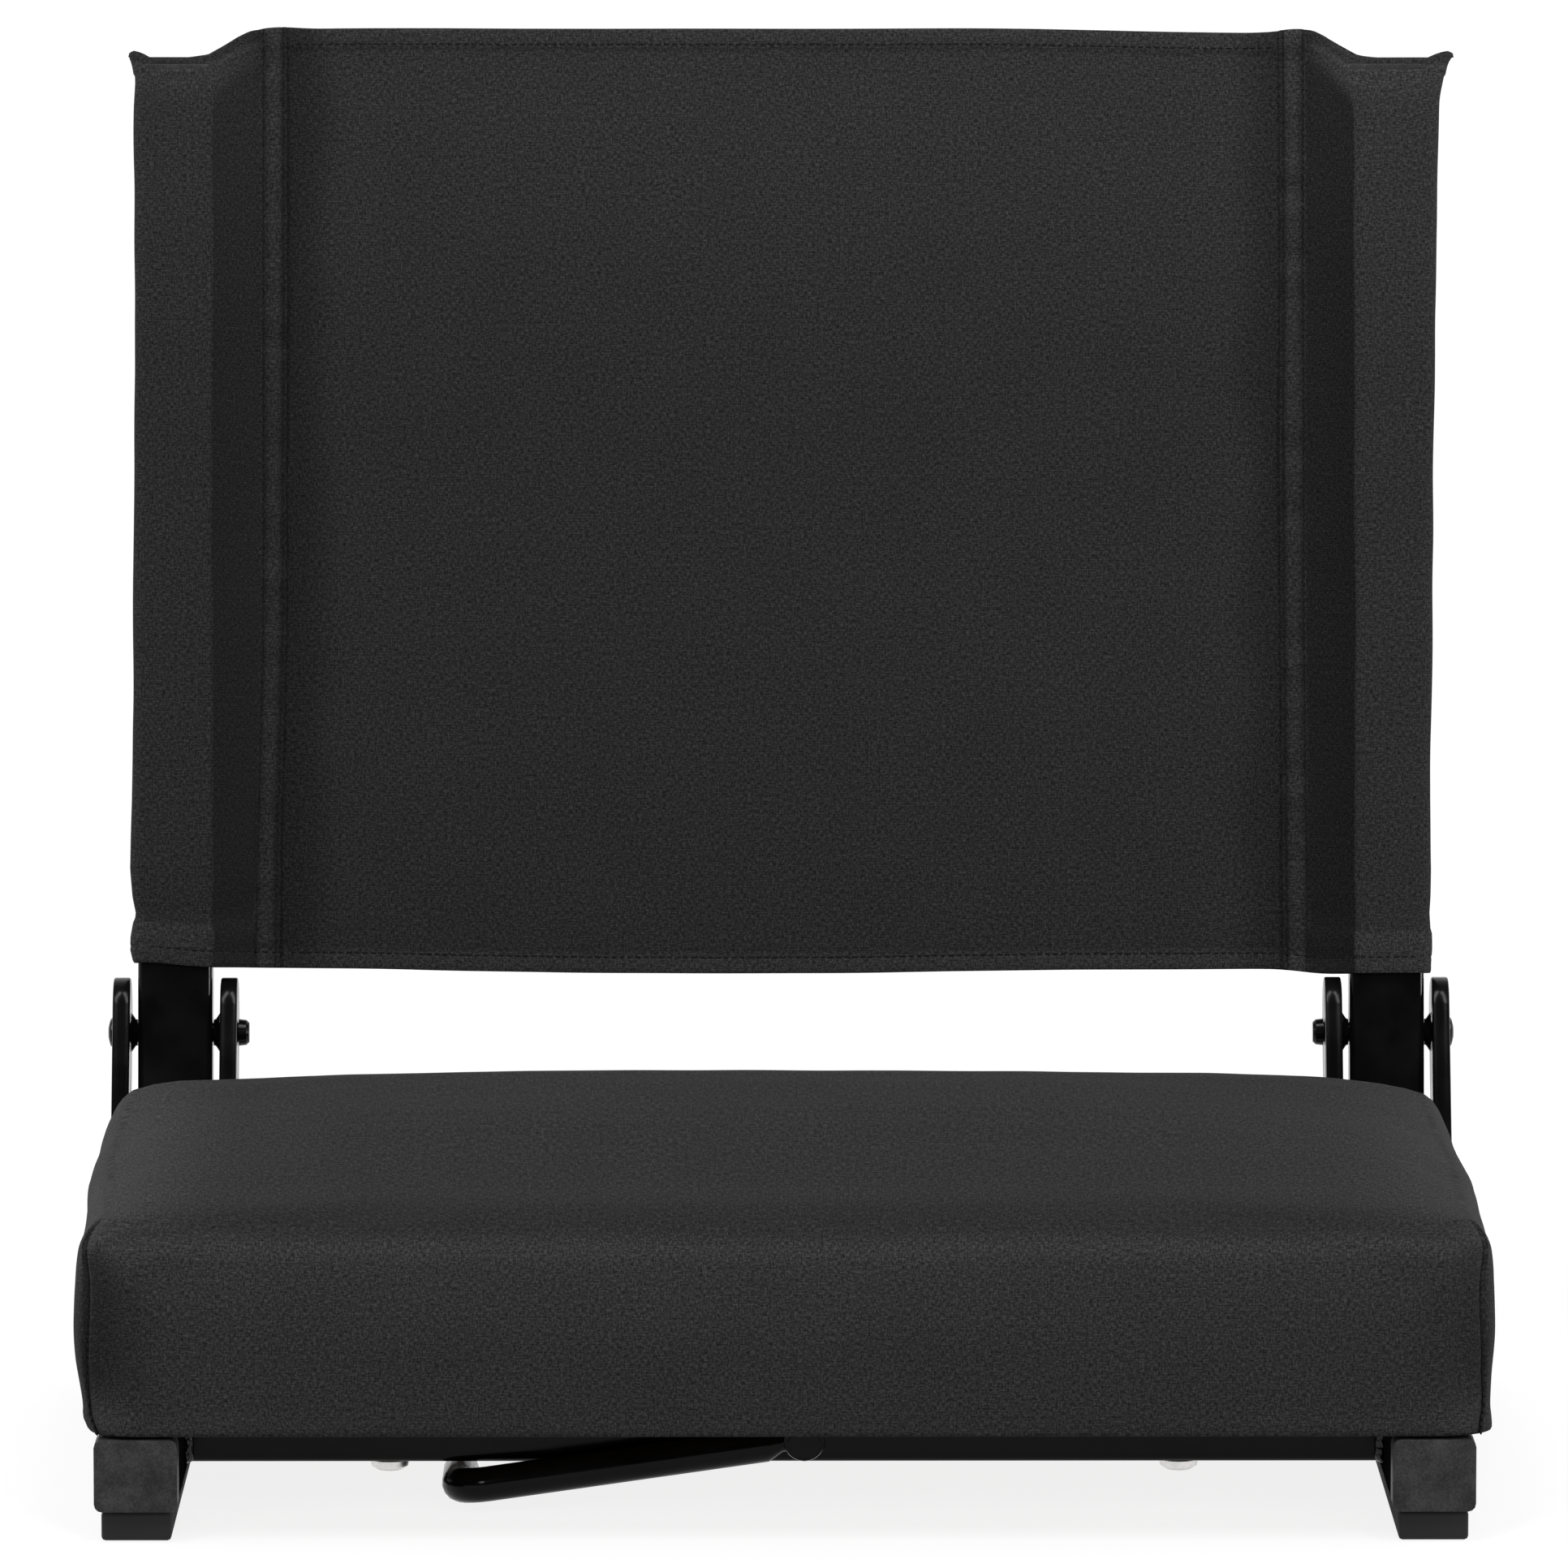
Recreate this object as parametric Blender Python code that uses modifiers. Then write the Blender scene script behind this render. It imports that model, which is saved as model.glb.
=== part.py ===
"""A folding stadium chair: steel base, padded seat, canvas back on hinged uprights and a bleacher hook.

Metres. +X is the sitter's left, the viewer's right. The front faces -Y. The runners stand on Z = 0.
Sizes below are in millimetres, and depths are counted back from the front of the rails.
"""

import math

import bmesh
import bpy
from mathutils import Matrix, Vector

MM = 0.001
GAP = 0.3  # left between pieces that touch
WELD = 1e-6

# Base
RAIL_CENTRE = 194.5  # from the middle of the chair to the middle of a rail
RAIL_WIDTH = 25.0
RAIL_BOTTOM = 9.3
RAIL_TOP = 31.2
TUBE_WALL = 1.6
TUBE_CORNER = 2.4
TUBE_INNER_CORNER = 1.1
PLUG_FRONT = 12.0  # length of a front plug's head
PLUG_REAR = 7.0
PLUG_TAIL = 16.0  # length inside the tube
PLUG_TAIL_CORNER = 0.6
PLUG_EDGE = 0.8
RUNNER_WIDTH = 21.0
RUNNER_SET_BACK = 4.0
RUNNER_EDGE = 1.2
CROSS_SIZE = 16.0
FRONT_CROSS_DEPTH = 54.0  # to the front face of the cross tube
REAR_CROSS_SET_IN = 56.0  # from the rear of the seat to the front face of the cross tube

# Hinge
PIVOT_DEPTH = 318.0
PIVOT_HEIGHT = 111.0
BACK_LEAN = math.radians(8.0)
BAR_LEAN = math.radians(22.0)
BAR_WIDTH = 23.0
BAR_THICK = 5.5
BAR_TOP = 18.0  # the bar's round end past the pivot
BAR_FOOT_HEIGHT = 16.0
BAR_FLAT = 18.0  # length welded to the rail
BAR_STEP = 12.0  # length over which the bar steps out to clear the upright
BAR_EDGE = 0.6
PIN_RADIUS = 3.2
HOLE_PLAY = 0.05
SPACER_LENGTH = 2.6
SPACER_WIDE = 6.5
SPACER_NARROW = 4.2
RIVET_HEAD = 5.0
RIVET_HEAD_THICK = 1.4
RIVET_END = 4.4
RIVET_END_THICK = 3.4

# Back
UPRIGHT_OFFSET = 1.5  # the upright's middle, outwards of the rail's
UPRIGHT_WIDTH = 24.0
UPRIGHT_DEPTH = 16.0
UPRIGHT_TOP = 311.0  # along the upright, from the pivot
UPRIGHT_FOOT_HEIGHT = 15.0
BACK_CROSS_HEIGHT = 43.0
BACK_CROSS_TALL = 14.0
BACK_CROSS_DEEP = 12.0
BACK_CROSS_PROUD = 1.5  # past the rear face of the uprights
END_PLUG = 2.2

CANVAS_THICK = 1.6
CANVAS_OVER_TUBE = 15.3  # the panel's top edge over the end of the uprights
CANVAS_BOTTOM = 20.5
SLEEVE_TOP_DROP = 10.6
SLEEVE_BOTTOM_RISE = 2.2
SLEEVE_EAR = 2.4
SLEEVE_EAR_WIDTH = 4.0
SLEEVE_EAR_OVERLAP = 3.0  # the ear starts this far in from the tube's outer face
SLEEVE_DIP_PAST_TUBE = 2.0  # the top edge is down this far past the tube's inner face
SLEEVE_PLAY = 0.6
SLEEVE_CORNER = 3.2
SLEEVE_CORNER_STEPS = 4
SEAM_FROM_TUBE = 14.5
PANEL_STEPS = 14
CANVAS_ROWS = 6

# Seat
SEAT_OVERHANG = 19.2  # from the middle of a rail to the fullest part of the seat
SEAT_FRONT = -2.0
SEAT_TO_PIVOT = 41.3
SEAT_CORNER = 14.0
SEAT_BOTTOM = 31.6
SEAT_EDGE_HEIGHT = 95.0
SEAT_CROWN = 14.5
SEAT_RISE = 5.0  # the rear edge over the front edge
COVER_THICK = 1.3
COVER_HEM = 21.0  # turned under the board
FOAM_PLAY = 0.75  # between the foam and the cover
BOARD_THICK = 12.0
BOARD_INSET = 3.0
BOLT_X = 120.0
BOLT_RADIUS = 3.0
BOLT_BITE = 9.6  # length of the bolt in the board
BOLT_HEAD = 6.0
BOLT_HEAD_THICK = 3.0

# Hook
HOOK_ROD = 5.4  # radius
HOOK_NECK = 3.0  # radius where the rod is drawn down to its eye
HOOK_X = 6.0
HOOK_HEIGHT = 23.4
HOOK_REACH = 104.7  # from the bolt to the middle of the tip, across the chair
HOOK_DROP = 15.0
HOOK_TIP = 34.0  # how far the tip runs back
HOOK_BEND = 9.0
HOOK_END_ROUND = 2.6
HOOK_EYE = 6.4
HOOK_EYE_THICK = 7.2
HOOK_EYE_EDGE = 0.8
HOOK_WASHER_RADIUS = 6.6
HOOK_WASHER_THICK = 1.8
HOOK_HEX = 4.4  # half across flats
HOOK_HEX_THICK = 4.0
HOOK_NUT_THICK = 5.0
HOOK_BOLT_PROUD = 3.0  # past the nut
HOOK_BOLT_POINT = 0.6

CIRCLE_STEPS = 24
BOLT_STEPS = 16
CORNER_STEPS = 3
ARC_STEPS = 6

UPRIGHT_CENTRE = RAIL_CENTRE + UPRIGHT_OFFSET
CANVAS_TOP = UPRIGHT_TOP + CANVAS_OVER_TUBE  # from the pivot, middle of the panel
SEAT_HALF_WIDTH = RAIL_CENTRE + SEAT_OVERHANG
SEAT_REAR = PIVOT_DEPTH - SEAT_TO_PIVOT
REAR_CROSS_DEPTH = SEAT_REAR - REAR_CROSS_SET_IN
RAIL_TALL = RAIL_TOP - RAIL_BOTTOM
RAIL_MID = (RAIL_TOP + RAIL_BOTTOM) / 2
REAR_EXTENT = (
    PIVOT_DEPTH
    + CANVAS_TOP * math.sin(BACK_LEAN)
    + (UPRIGHT_DEPTH / 2 + SLEEVE_PLAY + CANVAS_THICK) * math.cos(BACK_LEAN)
)
MIDDLE_DEPTH = (SEAT_FRONT + REAR_EXTENT) / 2
UPRIGHT_FOOT = -(PIVOT_HEIGHT - UPRIGHT_FOOT_HEIGHT) / math.cos(BACK_LEAN)
RAIL_REAR = (
    PIVOT_DEPTH
    + UPRIGHT_FOOT * math.sin(BACK_LEAN)
    - UPRIGHT_DEPTH / 2 / math.cos(BACK_LEAN)
    - GAP
)

SIDES = (("left", -1), ("right", 1))  # as the viewer sees the front
QUARTER = math.pi / 2
UNTURNED = (0.0, 0.0, 0.0)
TO_REAR = (-QUARTER, 0.0, 0.0)  # turns a piece's own Z to the rear
TO_FRONT = (QUARTER, 0.0, 0.0)
TO_RIGHT = (0.0, QUARTER, 0.0)
TO_LEFT = (0.0, -QUARTER, 0.0)
TO_BELOW = (math.pi, 0.0, 0.0)

LOOKS = {
    "black_enamel": ((0.012, 0.012, 0.013), 0.3, 0.0),
    "black_canvas": ((0.028, 0.028, 0.029), 0.9, 0.0),
    "grey_plastic": ((0.036, 0.036, 0.037), 0.55, 0.0),
    "black_rubber": ((0.025, 0.025, 0.026), 0.8, 0.0),
    "zinc_steel": ((0.45, 0.45, 0.46), 0.35, 1.0),
    "plywood": ((0.45, 0.31, 0.17), 0.7, 0.0),
    "foam": ((0.62, 0.58, 0.45), 0.95, 0.0),
}


def start_scene():
    for old in list(bpy.data.objects):
        bpy.data.objects.remove(old, do_unlink=True)
    for name in ("stadium_chair", "cutters"):
        group = bpy.data.collections.new(name)
        bpy.context.scene.collection.children.link(group)
    return bpy.data.collections["stadium_chair"], bpy.data.collections["cutters"]


PARTS, CUTTERS = start_scene()


def world(x, depth, height):
    return Vector((x * MM, (depth - MIDDLE_DEPTH) * MM, height * MM))


def local(x, y, z):
    return Vector((x * MM, y * MM, z * MM))


def paint(name, colour, rough, metal):
    made = bpy.data.materials.new(name)
    made.use_nodes = True
    shader = made.node_tree.nodes["Principled BSDF"]
    shader.inputs["Base Color"].default_value = (*colour, 1.0)
    shader.inputs["Roughness"].default_value = rough
    shader.inputs["Metallic"].default_value = metal
    return made


def settle(obj, where, turn, parent):
    obj.parent = parent
    obj.location = where
    obj.rotation_euler = turn
    return obj


def part(name, look, mesh, where, turn=UNTURNED, parent=None):
    mesh.materials.append(paint(name, *LOOKS[look]))
    obj = bpy.data.objects.new(name, mesh)
    PARTS.objects.link(obj)
    return settle(obj, where, turn, parent)


def helper(name, mesh, where, turn=UNTURNED, parent=None):
    """A solid that only cuts or joins another."""
    obj = bpy.data.objects.new(name, mesh)
    CUTTERS.objects.link(obj)
    obj.hide_render = True
    obj.display_type = "WIRE"
    return settle(obj, where, turn, parent)


def hinge_empty(name, where, turn=0.0):
    empty = bpy.data.objects.new(name, None)
    PARTS.objects.link(empty)
    empty.empty_display_size = 0.02
    return settle(empty, where, (turn, 0.0, 0.0), None)


def welded(mesh):
    work = bmesh.new()
    work.from_mesh(mesh)
    bmesh.ops.remove_doubles(work, verts=work.verts, dist=WELD)
    bmesh.ops.recalc_face_normals(work, faces=work.faces)
    work.to_mesh(mesh)
    work.free()
    return mesh


def mesh_of(name, curve):
    """A curve as a plain mesh, with its caps welded on."""
    guide = bpy.data.objects.new(f"{name}_guide", curve)
    CUTTERS.objects.link(guide)
    graph = bpy.context.evaluated_depsgraph_get()
    mesh = bpy.data.meshes.new_from_object(guide.evaluated_get(graph))
    mesh.name = name
    bpy.data.objects.remove(guide, do_unlink=True)
    return welded(mesh)


def new_curve(name, loops, closed):
    curve = bpy.data.curves.new(name, "CURVE")
    for loop in loops:
        spline = curve.splines.new("POLY")
        spline.points.add(len(loop) - 1)
        for point, place in zip(spline.points, loop):
            point.co = (*place, 1.0)
        spline.use_cyclic_u = closed
    return curve


def extruded(name, loops, start, end):
    """A flat outline drawn out along its own Z from start to end. Inner loops are holes."""
    curve = new_curve(name, [[local(a, b, 0.0) for a, b in loop] for loop in loops], True)
    curve.dimensions = "2D"
    curve.fill_mode = "BOTH"
    curve.extrude = abs(end - start) / 2 * MM
    mesh = mesh_of(name, curve)
    mesh.transform(Matrix.Translation((0.0, 0.0, (start + end) / 2 * MM)))
    return mesh


def primitive(name, make):
    """A mesh from one of the bmesh primitives."""
    mesh = bpy.data.meshes.new(name)
    work = bmesh.new()
    make(work)
    work.to_mesh(mesh)
    work.free()
    return mesh


def block(name, width, deep, tall):
    def make(work):
        bmesh.ops.create_cube(work, size=1.0)
        bmesh.ops.scale(work, vec=local(width, deep, tall), verts=work.verts)

    return primitive(name, make)


def rod(name, radius, start, end, steps=CIRCLE_STEPS, turn=0.0):
    """A straight rod along its own Z from start to end, or a hexagon with 6 steps."""
    middle = Matrix.Translation((0.0, 0.0, (start + end) / 2 * MM)) @ Matrix.Rotation(turn, 4, "Z")

    def make(work):
        bmesh.ops.create_cone(
            work, cap_ends=True, segments=steps, radius1=radius * MM, radius2=radius * MM,
            depth=abs(end - start) * MM, matrix=middle,
        )

    return primitive(name, make)


def hexagon(name, start, end):
    return rod(name, HOOK_HEX / math.cos(math.radians(30)), start, end, 6, math.radians(30))


def profile(name, points, closed=False):
    """A turned piece's profile of (radius, along) points, from its top down its outer side."""
    mesh = bpy.data.meshes.new(name)
    edges = [(k, k + 1) for k in range(len(points) - 1)]
    if closed:
        edges.append((len(points) - 1, 0))
    mesh.from_pydata([local(radius, 0.0, along) for radius, along in points], edges, [])
    return mesh


def spin(obj, steps=CIRCLE_STEPS):
    turned = obj.modifiers.new("turned", "SCREW")
    turned.axis = "Z"
    turned.steps = steps
    turned.render_steps = steps
    turned.use_merge_vertices = True
    turned.merge_threshold = 1e-5
    return obj


def combine(obj, other, operation):
    step = obj.modifiers.new(operation.lower(), "BOOLEAN")
    step.operation = operation
    step.solver = "EXACT"
    step.object = other


def soften(obj, width, segments=2):
    edge = obj.modifiers.new("soft edges", "BEVEL")
    edge.width = width * MM
    edge.segments = segments
    edge.limit_method = "ANGLE"
    edge.angle_limit = math.radians(50)
    return obj


def rounded_rect(width, tall, radius, steps=CORNER_STEPS):
    """Corner points of a rounded rectangle about (0, 0), counter-clockwise."""
    points = []
    for sx, sy, first in ((1, -1, -90), (1, 1, 0), (-1, 1, 90), (-1, -1, 180)):
        cx = sx * (width / 2 - radius)
        cy = sy * (tall / 2 - radius)
        for k in range(steps + 1):
            turn = math.radians(first + 90 * k / steps)
            points.append((cx + radius * math.cos(turn), cy + radius * math.sin(turn)))
    return points


def rect_tube(name, width, tall, start, end):
    outer = rounded_rect(width, tall, TUBE_CORNER)
    bore = 2 * TUBE_WALL
    inner = rounded_rect(width - bore, tall - bore, TUBE_INNER_CORNER)
    return extruded(name, [outer, inner], start, end)


def build_plug(name, width, tall, head, where, turn, parent=None):
    """A plug with a full-size head and a tail that slides into the tube. Its Z runs into the tube."""
    mesh = extruded(name, [rounded_rect(width, tall, TUBE_CORNER)], 0.0, head)
    plug = soften(part(name, "grey_plastic", mesh, where, turn, parent), PLUG_EDGE)
    bore = 2 * (TUBE_WALL + GAP)
    outline = rounded_rect(width - bore, tall - bore, PLUG_TAIL_CORNER)
    mesh = extruded(f"{name}_tail", [outline], head / 2, head + PLUG_TAIL)
    combine(plug, helper(f"{name}_tail", mesh, where, turn, parent), "UNION")


def build_base():
    rail_start = PLUG_FRONT + GAP
    rail_end = RAIL_REAR - PLUG_REAR - GAP
    runner_tall = RAIL_BOTTOM - GAP
    for side, sign in SIDES:
        x = sign * RAIL_CENTRE
        name = f"{side}_rail"
        mesh = rect_tube(name, RAIL_WIDTH, RAIL_TALL, rail_start, rail_end)
        part(name, "black_enamel", mesh, world(x, 0.0, RAIL_MID), TO_REAR)
        front = world(x, 0.0, RAIL_MID)
        build_plug(f"front_{side}_plug", RAIL_WIDTH, RAIL_TALL, PLUG_FRONT, front, TO_REAR)
        rear = world(x, RAIL_REAR, RAIL_MID)
        build_plug(f"rear_{side}_plug", RAIL_WIDTH, RAIL_TALL, PLUG_REAR, rear, TO_FRONT)
        name = f"{side}_runner"
        mesh = block(name, RUNNER_WIDTH, RAIL_REAR - 2 * RUNNER_SET_BACK, runner_tall)
        middle = world(x, RAIL_REAR / 2, runner_tall / 2)
        soften(part(name, "black_rubber", mesh, middle), RUNNER_EDGE)
    reach = RAIL_CENTRE - RAIL_WIDTH / 2 - GAP
    for end, depth in (("front", FRONT_CROSS_DEPTH), ("rear", REAR_CROSS_DEPTH)):
        name = f"{end}_cross_tube"
        mesh = rect_tube(name, CROSS_SIZE, CROSS_SIZE, -reach, reach)
        middle = world(0.0, depth + CROSS_SIZE / 2, RAIL_TOP - CROSS_SIZE / 2)
        part(name, "black_enamel", mesh, middle, TO_RIGHT)


def build_bar(name, sign, near, weld_near):
    """A flat bar, welded to the rail at its foot, that steps out to clear the upright and ends round.

    It is the common solid of its side view, which has the step, and its flat view, which has the round
    end and the hole. Its own X is across the chair and its own Y runs up the bar from the foot.
    """
    to_pivot = (PIVOT_HEIGHT - BAR_FOOT_HEIGHT) / math.cos(BAR_LEAN)
    half = BAR_WIDTH / 2
    end = to_pivot + BAR_TOP
    foot_depth = PIVOT_DEPTH - (PIVOT_HEIGHT - BAR_FOOT_HEIGHT) * math.tan(BAR_LEAN)
    foot = world(0.0, foot_depth, BAR_FOOT_HEIGHT)
    turn = (QUARTER - BAR_LEAN, 0.0, 0.0)

    stepped = ((weld_near, 0.0), (weld_near, BAR_FLAT), (near, BAR_FLAT + BAR_STEP), (near, end))
    side_view = [(sign * x, along) for x, along in stepped]
    side_view += [(sign * (x + BAR_THICK), along) for x, along in reversed(stepped)]
    mesh = extruded(name, [side_view], -half, half)
    bar = part(name, "black_enamel", mesh, foot, turn)

    flat_view = [(half, -BAR_STEP), (half, end - half)]
    for k in range(1, 2 * ARC_STEPS):
        t = math.pi * k / (2 * ARC_STEPS)
        flat_view.append((half * math.cos(t), end - half + half * math.sin(t)))
    flat_view += [(-half, end - half), (-half, -BAR_STEP)]
    hole = []
    for k in range(CIRCLE_STEPS):
        t = 2 * math.pi * k / CIRCLE_STEPS
        radius = PIN_RADIUS + HOLE_PLAY
        hole.append((radius * math.cos(t), to_pivot + radius * math.sin(t)))
    low = min(near, weld_near) - BAR_THICK
    high = max(near, weld_near) + 2 * BAR_THICK
    mesh = extruded(f"{name}_outline", [flat_view, hole], low, high)
    mesh.transform(Matrix.Rotation(sign * QUARTER, 4, "Y"))
    combine(bar, helper(f"{name}_outline", mesh, foot, turn), "INTERSECT")
    soften(bar, BAR_EDGE)


def build_hinges():
    half = UPRIGHT_WIDTH / 2
    pivot = world(0.0, PIVOT_DEPTH, PIVOT_HEIGHT)
    outer_near = UPRIGHT_CENTRE + half + SPACER_LENGTH
    inner_near = UPRIGHT_CENTRE - half - SPACER_LENGTH - BAR_THICK
    outer_weld = RAIL_CENTRE + RAIL_WIDTH / 2 + GAP
    inner_weld = RAIL_CENTRE - RAIL_WIDTH / 2 - GAP - BAR_THICK
    start = inner_near - GAP
    end = outer_near + BAR_THICK + GAP
    rivet = [
        (0.0, end + RIVET_HEAD_THICK),
        (RIVET_HEAD * 0.4, end + RIVET_HEAD_THICK),
        (RIVET_HEAD * 0.86, end + RIVET_HEAD_THICK * 0.55),
        (RIVET_HEAD, end),
        (PIN_RADIUS, end),
        (PIN_RADIUS, start),
        (RIVET_END, start),
        (RIVET_END * 0.93, start - RIVET_END_THICK * 0.72),
        (RIVET_END * 0.72, start - RIVET_END_THICK),
        (0.0, start - RIVET_END_THICK),
    ]
    bore = PIN_RADIUS + HOLE_PLAY
    faces = {
        "outer": (outer_near, UPRIGHT_CENTRE + half),
        "inner": (inner_near + BAR_THICK, UPRIGHT_CENTRE - half),
    }
    for side, sign in SIDES:
        outwards = TO_RIGHT if sign > 0 else TO_LEFT
        build_bar(f"{side}_outer_bar", sign, outer_near, outer_weld)
        build_bar(f"{side}_inner_bar", sign, inner_near, inner_weld)
        name = f"{side}_pivot_rivet"
        spin(part(name, "black_enamel", profile(name, rivet), pivot, outwards))
        for where, (bar_face, tube_face) in faces.items():
            toward = 1 if tube_face > bar_face else -1
            first = bar_face + toward * GAP
            span = tube_face - toward * GAP - first
            rims = [
                (SPACER_WIDE, first),
                (SPACER_WIDE * 0.86, first + span * 0.3),
                (SPACER_NARROW * 1.06, first + span * 0.65),
                (SPACER_NARROW, first + span),
            ]
            if toward > 0:
                rims.reverse()
            ring = rims + [(bore, rims[-1][1]), (bore, rims[0][1])]
            name = f"{side}_{where}_spacer"
            spin(part(name, "black_enamel", profile(name, ring, True), pivot, outwards))


def sleeve_loop(radius):
    """Points round one sleeve from the seam and back to it, as (across, rear).

    Across is counted outwards from the middle of the chair. The radius is that of the sleeve's corners.
    """
    cx = UPRIGHT_WIDTH / 2 + SLEEVE_PLAY - SLEEVE_CORNER
    cd = UPRIGHT_DEPTH / 2 + SLEEVE_PLAY - SLEEVE_CORNER
    points = []
    for sx, sd, first, last in ((-1, -1, 218, 270), (1, -1, 270, 360), (1, 1, 0, 90)):
        for k in range(SLEEVE_CORNER_STEPS):
            turn = math.radians(first + (last - first) * k / (SLEEVE_CORNER_STEPS - 1))
            across = UPRIGHT_CENTRE + sx * cx + radius * math.cos(turn)
            points.append((across, sd * cd + radius * math.sin(turn)))
    points.append((UPRIGHT_CENTRE - cx, cd + radius))
    return points


TUBE_EDGE = UPRIGHT_CENTRE - UPRIGHT_WIDTH / 2
SEAM = TUBE_EDGE - SEAM_FROM_TUBE
PANEL_REAR = UPRIGHT_DEPTH / 2 + SLEEVE_PLAY + CANVAS_THICK / 2  # the panel runs on from the sleeves' back


def canvas_top(across):
    """Height of the canvas's top edge: straight over the panel, lower over the tubes, ears at the corners."""
    t = min(1.0, max(0.0, (across - SEAM) / (TUBE_EDGE + SLEEVE_DIP_PAST_TUBE - SEAM)))
    drop = SLEEVE_TOP_DROP * t * t * (3 - 2 * t)
    corner = UPRIGHT_CENTRE + UPRIGHT_WIDTH / 2 - SLEEVE_EAR_OVERLAP
    ear = SLEEVE_EAR * min(1.0, max(0.0, (across - corner) / SLEEVE_EAR_WIDTH))
    return CANVAS_TOP - drop + ear


def canvas_bottom(across):
    t = min(1.0, max(0.0, (across - SEAM) / SEAM_FROM_TUBE))
    return CANVAS_BOTTOM + SLEEVE_BOTTOM_RISE * t


def build_canvas(parent):
    """One sewn sheet, lofted from its bottom edge to its top: a panel between two sleeves shut at the top."""
    panel_face = PANEL_REAR - CANVAS_THICK / 2
    panel_back = PANEL_REAR + CANVAS_THICK / 2
    tip = SEAM + CANVAS_THICK * 2.2
    outer = [(SEAM, panel_face), *sleeve_loop(SLEEVE_CORNER + CANVAS_THICK), (SEAM, panel_back)]
    inner = [(tip, panel_face), *sleeve_loop(SLEEVE_CORNER), (tip, panel_face)]
    count = len(outer)
    top = CANVAS_ROWS
    points = []
    faces = []
    index = {}

    def vert(key, across, rear, up):
        if key not in index:
            index[key] = len(points)
            points.append(local(across, rear, up))
        return index[key]

    def height(across, row, lining=0.0):
        t = row / CANVAS_ROWS
        return canvas_bottom(abs(across)) * (1 - t) + (canvas_top(abs(across)) - lining) * t

    def outer_vert(sign, j, row):
        if j in (0, count - 1):
            return panel_vert(j == 0, 0 if sign < 0 else PANEL_STEPS, row)
        across, rear = outer[j]
        return vert(("outer", sign, j, row), sign * across, rear, height(across, row))

    def inner_vert(sign, j, row):
        across, rear = inner[j]
        up = height(across, row, CANVAS_THICK)
        return vert(("inner", sign, j % (count - 1), row), sign * across, rear, up)

    def panel_vert(front, column, row):
        across = SEAM * (2 * column / PANEL_STEPS - 1)
        rear = panel_face if front else panel_back
        return vert(("panel", front, column, row), across, rear, height(across, row))

    def patch(maker, key, j, row):
        faces.append((
            maker(key, j, row), maker(key, j + 1, row), maker(key, j + 1, row + 1), maker(key, j, row + 1),
        ))

    for sign in (-1, 1):
        for j in range(count - 1):
            for row in range(CANVAS_ROWS):
                patch(outer_vert, sign, j, row)
                patch(inner_vert, sign, j, row)
            rim = (
                outer_vert(sign, j, 0), inner_vert(sign, j, 0),
                inner_vert(sign, j + 1, 0), outer_vert(sign, j + 1, 0),
            )
            faces.append(tuple(dict.fromkeys(rim)))
        faces.append((outer_vert(sign, 0, 0), outer_vert(sign, count - 1, 0), inner_vert(sign, 0, 0)))
        for maker, lining in ((outer_vert, 0.0), (inner_vert, CANVAS_THICK)):
            up = canvas_top(UPRIGHT_CENTRE) - lining
            hub = vert(("hub", sign, lining), sign * UPRIGHT_CENTRE, 0.0, up)
            loop = list(dict.fromkeys(maker(sign, j, top) for j in range(count)))
            for j in range(len(loop)):
                faces.append((loop[j], loop[(j + 1) % len(loop)], hub))
    for column in range(PANEL_STEPS):
        for front in (True, False):
            for row in range(CANVAS_ROWS):
                patch(panel_vert, front, column, row)
        for row in (0, top):
            faces.append((
                panel_vert(True, column, row), panel_vert(True, column + 1, row),
                panel_vert(False, column + 1, row), panel_vert(False, column, row),
            ))
    mesh = bpy.data.meshes.new("back_canvas")
    mesh.from_pydata(points, [], faces)
    part("back_canvas", "black_canvas", welded(mesh), UNTURNED, UNTURNED, parent)


def build_back(parent):
    cross_up = -(PIVOT_HEIGHT - BACK_CROSS_HEIGHT) / math.cos(BACK_LEAN)
    foot = UPRIGHT_FOOT + END_PLUG + GAP
    for side, sign in SIDES:
        x = sign * UPRIGHT_CENTRE
        name = f"{side}_upright"
        mesh = rect_tube(name, UPRIGHT_WIDTH, UPRIGHT_DEPTH, foot, UPRIGHT_TOP)
        upright = part(name, "black_enamel", mesh, local(x, 0.0, 0.0), UNTURNED, parent)
        hole = rod(f"{name}_hole", PIN_RADIUS + HOLE_PLAY, -UPRIGHT_WIDTH, UPRIGHT_WIDTH)
        cutter = helper(f"{name}_hole", hole, local(x, 0.0, 0.0), TO_RIGHT, parent)
        combine(upright, cutter, "DIFFERENCE")
        top = local(x, 0.0, UPRIGHT_TOP + GAP + END_PLUG)
        name = f"{side}_upright_top_plug"
        build_plug(name, UPRIGHT_WIDTH, UPRIGHT_DEPTH, END_PLUG, top, TO_BELOW, parent)
        bottom = local(x, 0.0, UPRIGHT_FOOT)
        name = f"{side}_upright_foot_plug"
        build_plug(name, UPRIGHT_WIDTH, UPRIGHT_DEPTH, END_PLUG, bottom, UNTURNED, parent)
    reach = TUBE_EDGE - GAP
    rear = UPRIGHT_DEPTH / 2 - BACK_CROSS_DEEP / 2 + BACK_CROSS_PROUD
    mesh = rect_tube("back_cross_tube", BACK_CROSS_TALL, BACK_CROSS_DEEP, -reach, reach)
    part("back_cross_tube", "black_enamel", mesh, local(0.0, rear, cross_up), TO_RIGHT, parent)


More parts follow.
